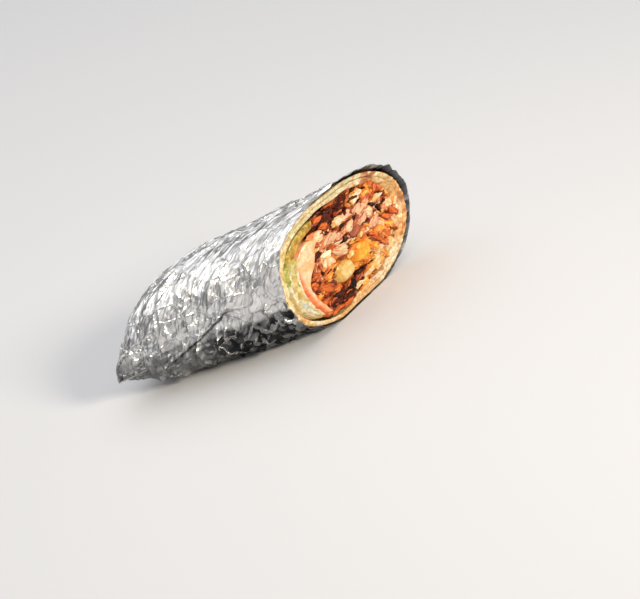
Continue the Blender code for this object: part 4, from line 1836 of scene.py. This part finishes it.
    heaps: tuple[tuple[str, tuple[Kind, Kind]], ...] = (
        ("chicken_chunks", (PINK, MAUVE)),
        ("chicken_breast", (PEACH, CREAM)),
        ("chicken_roast", (ROAST, FIBRE)),
        ("chicken_soaked", (SOAKED, SOFT)),
        ("chicken_charred", (DARK, CHAR)),
    )
    facets: int = 9
    facet_bend: float = 0.6
    facet_place: Pair = (0.5, 0.9)
    facet_flatness: float = 0.85
    least_depth: float = 1.6
    depth_share: float = 0.42
    most_tilt: float = 0.3
    knife_flatness: float = 0.12
    strands: Strands = Strands(0.6, 2.4, 0.2, 0.95)
    threads: Strands = Strands(0.5, 2.2, 0.4, 2.3)
    thread_share: float = 0.5
    lump_scale: float = 0.42
    fraying: float = 0.55
    fray_scale: float = 1.3
    sinking: float = 0.55
    cut_roughness: float = 0.34
    cut_lumps: float = 0.7
    cut_edge: float = 0.5
    cut_level: float = 0.3
    least_reach: float = 5.0
    reach_step: float = 0.25
    strewn_reach: float = 0.97
    glaze: float = 0.16
    core_waves: tuple[Wave, ...] = (Wave(1.3, 0.28, 5.0), Wave(0.7, 0.8, 6.0), Wave(0.25, 2.2, 7.0))
    core_inset: float = 0.3
    # The sauce colours are darker than the sauce itself: partly painted shade of the gaps between morsels,
    # where the core shows.
    sauce_dark: Colour = shade(92, 28, 6)
    sauce_red: Colour = shade(190, 80, 18)
    sauce_burnt: Colour = shade(70, 24, 6)
    sauce_oil: Colour = shade(242, 156, 56)
    core_detail: int = 7
    core_front: float = 2.3
    core_shoulder: float = 1.6
    core_back: float = 3.9
    core_depth: float = 78.0

    def _free(self, y: float, z: float) -> bool:
        """Whether the chicken may fill a point of the cut.

        Args:
            y: Place across the section.
            z: Height in the section.

        Returns:
            True where it may.
        """
        turn = math.degrees(math.atan2(z, y)) % 360
        limit = self.body.room(1.0, turn) - self.clear
        first, last = self.vegetables.pickle_turns
        if first - 3 < turn < last + 3:
            limit -= self.vegetables.pickle_depth
        return math.hypot(y, z) < limit and y > self.vegetables.flesh(z) + self.clear

    def _edge(self, angle: float) -> float:
        """Reach of the chicken from its middle at an angle in radians.

        Args:
            angle: The angle.

        Returns:
            The reach.
        """
        reach = self.least_reach
        while self._free(*self._spot(reach, angle)):
            reach += self.reach_step
        return reach

    def _spot(self, reach: float, angle: float) -> Pair:
        """Point of the cut at a reach from the chicken's middle, at an angle in radians."""
        return self.middle[0] + reach * math.cos(angle), self.middle[1] + reach * math.sin(angle)

    def _tone(self, kind: Kind, shift: float, rough: float, cut: float) -> Colour:
        """Colour of a morsel's surface.

        Args:
            kind: The morsel's kind.
            shift: The morsel's own lightness, about -1 to 1.
            rough: Height of the surface's relief, about -1 to 1.
            cut: 1 where the knife went through.

        Returns:
            The colour.
        """
        tone = kind.value
        share = cut * (0.85 + 0.5 * rough) + 0.12 + 0.2 * rough
        colour = blend(tone.side, tone.cut, min(1.0, max(0.0, share)))
        glaze = 1 + self.glaze * shift
        return (colour[0] * glaze, colour[1] * glaze, colour[2] * glaze, cut)

    def _morsel(self, morsel: Morsel, detail: int, draw: random.Random) -> Mesh:
        """Carves one morsel.

        Args:
            morsel: Its place, size and kind.
            detail: Subdivisions of its mesh.
            draw: The random source.

        Returns:
            Its mesh in the frame's metres.
        """
        bm = bmesh.new()
        bmesh.ops.create_icosphere(bm, subdivisions=detail, radius=1.0)
        tint = bm.verts.layers.float_color.new("tint")
        grain = bm.verts.layers.float_vector.new("grain")
        tone = morsel.kind.value
        cuts = []
        for _ in range(self.facets):
            normal = Vector((draw.gauss(0, self.facet_bend), draw.gauss(0, 1), draw.gauss(0, 1))).normalized()
            cuts.append((normal, draw.uniform(*self.facet_place)))
        deep = max(self.least_depth, self.depth_share * (morsel.wide + morsel.high) / 2)
        shift = draw.uniform(-1, 1)
        seed = Vector((draw.uniform(-50, 50), draw.uniform(-50, 50), draw.uniform(-50, 50)))
        cosine, sine = math.cos(math.radians(morsel.turn)), math.sin(math.radians(morsel.turn))
        tilts = [draw.uniform(-self.most_tilt, self.most_tilt) for _ in range(2)]
        for vert in bm.verts:
            unit = vert.co.copy()
            for normal, height in cuts:
                over = unit.dot(normal) - height
                if over > 0:
                    unit -= normal * over * self.facet_flatness
            local = Vector((unit.x * deep, unit.y * morsel.wide / 2, unit.z * morsel.high / 2))
            rough = self.strands.height(local, seed) + self.thread_share * self.threads.height(local, -seed)
            lump = noise.noise(local * self.lump_scale + seed)
            frayed = noise.noise(Vector((seed.x, local.z * self.fray_scale, local.x * self.fray_scale)))
            local.y *= 1 + self.fraying * frayed * abs(unit.y)
            out = Vector((unit.x, unit.y * deep / (morsel.wide / 2), unit.z * deep / (morsel.high / 2)))
            moved = local + out.normalized() * (tone.fibre * rough + tone.lump * lump)
            back = morsel.back + deep * self.sinking - moved.x
            front = morsel.back + tilts[0] * moved.y + tilts[1] * moved.z
            front = front - self.cut_roughness * rough - self.cut_lumps * lump
            cut = ease((front - back) / self.cut_edge + self.cut_level)
            if back < front:
                back = front + (back - front) * self.knife_flatness
            y = morsel.y + cosine * moved.y - sine * moved.z
            z = morsel.z + sine * moved.y + cosine * moved.z
            y, z = self._held(y, z)
            vert[grain] = Vector((moved.y, moved.z, moved.x)) * MM + seed * MM
            vert[tint] = self._tone(morsel.kind, shift, rough, cut)
            vert.co = self.body.filling(y, z, back)
        return bm

    def _held(self, y: float, z: float) -> Pair:
        """Draws a point back inside the bread.

        Args:
            y: Place across the section.
            z: Height in the section.

        Returns:
            The point.
        """
        degrees = math.degrees(math.atan2(z, y))
        share = math.hypot(y, z) / (self.body.room(1.0, degrees) + self.over_bread)
        return (y / share, z / share) if share > 1 else (y, z)

    def _kind_at(self, y: float, z: float, draw: random.Random) -> Kind:
        """One of the kinds that lie in the nearest zone."""
        nearest = min(self.zones, key=lambda zone: math.hypot(zone.y - y, zone.z - z))
        return draw.choice(nearest.kinds)

    def _scattered(self, count: int, draw: random.Random) -> list[Pair]:
        """Random free places of the cut, clear of the fries.

        Args:
            count: How many.
            draw: The random source.

        Returns:
            The places.
        """
        places = []
        while len(places) < count:
            angle = draw.uniform(0, math.tau)
            y, z = self._spot(self._edge(angle) * math.sqrt(draw.random()) * self.strewn_reach, angle)
            if all(math.hypot(y - fy, z - fz) > clear for fy, fz, clear in self.fry_spots):
                places.append((y, z))
        return places

    def _strewn(self, bits: Bits, draw: random.Random) -> list[tuple[Morsel, int]]:
        """Strews small morsels over the cut, with the detail of their meshes.

        Args:
            bits: How many, and their sizes.
            draw: The random source.

        Returns:
            The morsels and their details.
        """
        made = []
        for y, z in self._scattered(bits.count, draw):
            wide, high = draw.uniform(*bits.wide), draw.uniform(*bits.high)
            kind = self._kind_at(y, z, draw)
            if bits.combed:
                turn = draw.gauss(self.lie_right if y > self.lie_from else self.lie_left, self.lie_spread)
            else:
                turn = draw.uniform(0, 180)
            made.append((Morsel(y, z, wide, high, kind, turn, draw.uniform(*bits.back)), bits.detail))
        return made

    def _heap(self, name: str, kinds: Sequence[Kind], morsels: Sequence[tuple[Morsel, int]]) -> None:
        """Builds every morsel of some kinds as one piece.

        Args:
            name: The piece's name.
            kinds: The kinds that belong to it.
            morsels: Every morsel with the detail of its mesh.
        """
        draw = random.Random(f"{self.seed} {name}")
        bm = bmesh.new()
        bm.verts.layers.float_color.new("tint")
        bm.verts.layers.float_vector.new("grain")
        for morsel, detail in morsels:
            if morsel.kind in kinds:
                join(bm, self._morsel(morsel, detail, draw))
        burnt = DARK in kinds
        finish = FoodFinish(
            name.replace("_", " "), coat=0.14 if burnt else 0.3, specular=0.12 if burnt else 0.25
        )
        finished(name, bm, finish.graph(), ["chicken_filling"])

    def _core(self) -> None:
        """Builds the saucy mass behind the morsels."""
        bm = bmesh.new()
        bmesh.ops.create_icosphere(bm, subdivisions=self.core_detail, radius=1.0)
        reach = [self._edge(math.radians(degree)) for degree in range(360)]
        for vert in bm.verts:
            forwards, y, z = vert.co
            turn = math.degrees(math.atan2(z, y)) % 360
            low = int(turn) % 360
            edge = lerp(reach[low], reach[(low + 1) % 360], turn - int(turn)) - self.core_inset
            out = math.hypot(y, z)
            fan = edge * (out**0.8 if forwards > 0 else 1 - (1 - out) ** 2)
            y, z = self.middle[0] + fan * y / max(out, TINY), self.middle[1] + fan * z / max(out, TINY)
            if forwards > 0:
                lump = waved(0.0, self.core_waves, y, z)
                back = self.core_front + self.core_shoulder * (1 - forwards) ** 3 - lump * forwards**0.3
            else:
                back = self.core_back + self.core_depth * forwards * forwards
            vert.co = self.body.filling(y, z, back)

        def colour(y: float, z: float, back: float) -> Colour:
            """Dark sauce in the gaps, darkened further as painted shade of the gaps, orange oil lower on the
            right.

            Args:
                y: Place across the section.
                z: Height in the section.
                back: Distance behind the cut. Not used.

            Returns:
                The colour.
            """
            dark = blend(self.sauce_dark, self.sauce_red, Mottle(0.35, 5.0, 1.5).share(y, z))
            dark = blend(dark, self.sauce_burnt, 0.7 * ease((abs(z + 1) - 13) / 5) * ease((9 - y) / 6))
            oily = ease((y + 2) / 6) * ease((2 - z) / 6) * ease((z + y / 2 + 21) / 5)
            return blend(dark, self.sauce_oil, 0.9 * oily)

        paint(bm, self.body, colour)
        finished("sauce_core", bm, Food.SAUCE.value.graph(), ["chicken_filling"])

    def build(self) -> None:
        """Builds the chicken."""
        draw = random.Random(self.seed)
        morsels = [(m, self.fine if m.wide * m.high > self.fine_from else self.coarse) for m in self.morsels]
        for bits in self.bits:
            morsels += self._strewn(bits, draw)
        self._core()
        for name, kinds in self.heaps:
            self._heap(name, kinds, morsels)


@dataclass(frozen=True)
class Fry:
    """A chip of fried potato that ends in the cut."""

    node: str
    y: float
    z: float
    wide: float
    high: float
    turn: float
    length: float
    bevel: float
    crust: Colour
    inside: Colour


@dataclass
class Fries:
    """Three fried potato chips."""

    body: WrapBody
    proud: float = 1.0
    rim: float = 1.3
    cut_from: float = 1.2
    halvings: int = 4
    longest_edge: float = 0.45
    fine_end: float = 4.0
    spots: float = 0.35
    lump_scale: float = 0.5
    fine_scale: float = 1.7
    swells: Pair = (0.06, 0.03)
    cut_relief: Pair = (0.45, 0.3)
    fries: tuple[Fry, ...] = (
        Fry("fry_pale", -2.8, -9.4, 8.0, 9.4, 8, 58, 3.1, shade(218, 178, 94), shade(234, 216, 154)),
        Fry("fry_gold", 6.2, -7.4, 6.6, 8.4, -14, 52, 2.2, shade(228, 150, 34), shade(244, 190, 62)),
        Fry("fry_side", 15.2, -6.2, 6.6, 7.8, 28, 46, 2.4, shade(232, 132, 34), shade(248, 186, 92)),
    )

    def _fry(self, fry: Fry) -> None:
        """Builds one chip.

        Args:
            fry: Its place, size and colours.
        """
        bm = bmesh.new()
        bmesh.ops.create_cube(bm, size=1.0)
        bmesh.ops.scale(bm, vec=(fry.length, fry.wide, fry.high), verts=bm.verts)
        bmesh.ops.bevel(
            bm, geom=bm.edges, offset=fry.bevel, affect="EDGES", segments=4, profile=0.5, material=-1
        )
        along = [e for e in bm.edges if abs(e.verts[0].co.x - e.verts[1].co.x) > fry.length / 2]
        bmesh.ops.subdivide_edges(bm, edges=along, cuts=30, use_grid_fill=True)
        ends = [f for f in bm.faces if abs(f.normal.x) > 0.9]
        bmesh.ops.triangulate(bm, faces=ends)
        for _ in range(self.halvings):
            front = [
                e for e in bm.edges
                if min(v.co.x for v in e.verts) > fry.length / 2 - self.fine_end
                and e.calc_length() > self.longest_edge
            ]
            bmesh.ops.subdivide_edges(bm, edges=front, cuts=1)
            bmesh.ops.triangulate(bm, faces=[f for f in bm.faces if len(f.verts) > 4])
        crusts = []
        turn = math.radians(fry.turn)
        seed = fry.y
        for vert in bm.verts:
            x, y, z = vert.co
            edge = 1 - min(fry.wide / 2 - abs(y), fry.high / 2 - abs(z)) / self.rim
            face = ease((x - fry.length / 2 + self.cut_from) / 1.0)
            rough = noise.noise(Vector((x, y, z)) * self.lump_scale + Vector((seed, 0, 0)))
            fine = noise.noise(Vector((x, y, z)) * self.fine_scale + Vector((seed, 0, 0)))
            swell = 1 + self.swells[0] * rough + self.swells[1] * fine
            crusts.append(ease(edge) if face > 0.5 else 1.0)
            y, z = y * swell, z * swell
            relief = self.cut_relief[0] * rough + self.cut_relief[1] * fine
            back = fry.length / 2 - x - self.proud + face * relief
            y, z = y * math.cos(turn) - z * math.sin(turn), y * math.sin(turn) + z * math.cos(turn)
            vert.co = self.body.at(1.0, fry.y + y, fry.z + z, -back)
        tint = bm.verts.layers.float_color.new("tint")
        grain = bm.verts.layers.float_vector.new("grain")
        for vert, crust in zip(bm.verts, crusts):
            y, z = vert.co.y / MM, vert.co.z / MM
            mottled = Mottle(self.spots, seed, 1.3).share(y, z)
            inside = blend(fry.inside, blend(fry.inside, fry.crust, 0.55), mottled)
            vert[tint] = blend(inside, fry.crust, crust)
            vert[grain] = vert.co
        finished(fry.node + "_chip", bm, Food.POTATO.value.graph(), [fry.node])

    def build(self) -> None:
        """Builds the chips."""
        for fry in self.fries:
            self._fry(fry)


@dataclass(frozen=True)
class Lamp:
    """A disk of light aimed at the wrap: metres, watts and degrees."""

    name: str
    size: float
    power: float
    spread: float
    place: Triple
    colour: Triple


@dataclass
class Lighting:
    """Floor, lights, surroundings and camera."""

    floor_colour: Colour = shade(214, 214, 216)
    floor_half: float = 3.0
    lamps: tuple[Lamp, ...] = (
        Lamp("overhead", 2.6, 12.5, 180.0, (-0.15, 0.2, 1.15), (1.0, 1.0, 1.0)),
        Lamp("front", 0.4, 1.5, 60.0, (0.8, -0.75, 0.6), (1.0, 0.9, 0.74)),
    )
    horizon: float = 0.1
    zenith: float = 0.6
    zenith_height: float = 0.8
    look_at: Triple = (0.0, 0.0, 0.0296)
    azimuth: float = 1.9
    elevation: float = 27.3
    roll: float = 20.9
    distance: float = 0.801
    focal_length: float = 100.0
    sensor_width: float = 36.0
    aside: float = 56.3
    above: float = 25.8

    def floor(self) -> None:
        """A plain pale floor."""
        graph = Graph("floor", roughness=1.0, specular_ior_level=0.0)
        graph.shader.inputs["Base Color"].default_value = self.floor_colour
        bm = bmesh.new()
        bmesh.ops.create_grid(bm, x_segments=1, y_segments=1, size=self.floor_half)
        mesh = bpy.data.meshes.new("floor")
        bm.to_mesh(mesh)
        bm.free()
        mesh.materials.append(graph.material)
        floor = bpy.data.objects.new("floor", mesh)
        bpy.context.scene.collection.objects.link(floor)

    def _area(self, lamp: Lamp) -> None:
        """An area light aimed at the wrap.

        Args:
            lamp: Its size, power, spread, place and colour.
        """
        light = bpy.data.lights.new(lamp.name, "AREA")
        light.color = lamp.colour
        light.spread = math.radians(lamp.spread)
        light.shape = "DISK"
        light.size = lamp.size
        light.energy = lamp.power
        holder = bpy.data.objects.new(lamp.name, light)
        holder.location = lamp.place
        towards = Vector(self.look_at) - Vector(lamp.place)
        holder.rotation_euler = towards.to_track_quat("-Z", "Y").to_euler()
        bpy.context.scene.collection.objects.link(holder)

    def lights(self) -> None:
        """Soft light from above, a warmer lamp at the front right and a world brighter towards the top."""
        for lamp in self.lamps:
            self._area(lamp)
        world = bpy.data.worlds.new("studio")
        world.use_nodes = True
        nodes = Nodes(world.node_tree)
        height = nodes.axis(nodes.node("ShaderNodeTexCoord", output="Generated"), "Z")
        span = {"From Max": self.zenith_height, "To Min": self.horizon, "To Max": self.zenith}
        brightness = nodes.node("ShaderNodeMapRange", None, {"Value": height, "From Min": 0.0, **span})
        background = nodes.tree.nodes["Background"]
        background.inputs["Color"].default_value = (1.0, 1.0, 1.0, 1.0)
        nodes.link(brightness, background, "Strength")
        bpy.context.scene.world = world
        bpy.context.scene.view_settings.view_transform = "Standard"

    def camera(self) -> None:
        """The camera, turned so that the wrap lies left of the picture's middle and above it."""
        azimuth, elevation, roll = map(math.radians, (self.azimuth, self.elevation, self.roll))
        back = Vector((
            math.sin(azimuth) * math.cos(elevation),
            -math.cos(azimuth) * math.cos(elevation),
            math.sin(elevation),
        ))
        level = Vector((math.cos(azimuth), math.sin(azimuth), 0.0))
        upright = back.cross(level)
        right = math.cos(roll) * level - math.sin(roll) * upright
        up = math.sin(roll) * level + math.cos(roll) * upright
        camera = bpy.data.cameras.new("camera")
        camera.lens = self.focal_length
        camera.sensor_width = self.sensor_width
        camera.sensor_fit = "HORIZONTAL"
        camera.clip_start = 0.01
        pixel = self.sensor_width / IMAGE_WIDTH / self.focal_length * self.distance
        middle = Vector(self.look_at)
        target = middle + right * self.aside * pixel - up * self.above * pixel
        stand = middle + back * self.distance
        towards = (target - stand).normalized()
        side = towards.cross(up).normalized()
        turned = Matrix((side, side.cross(towards), -towards)).transposed()
        holder = bpy.data.objects.new("camera", camera)
        holder.matrix_world = Matrix.Translation(stand) @ turned.to_4x4()
        bpy.context.scene.collection.objects.link(holder)
        bpy.context.scene.camera = holder

    def build(self) -> None:
        """Builds the studio."""
        self.floor()
        self.lights()
        self.camera()


def main() -> None:
    """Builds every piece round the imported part."""
    logging.basicConfig(level=logging.INFO, format="%(name)s: %(message)s")
    for old in list(bpy.data.objects):
        bpy.data.objects.remove(old)
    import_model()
    body = WrapBody.in_frame()
    Lighting().build()
    FoilWrap(body).build()
    Flatbread(body).build()
    vegetables = Vegetables(body)
    vegetables.build()
    ChickenFilling(body, vegetables).build()
    Fries(body).build()


if __name__ == "__main__":
    main()
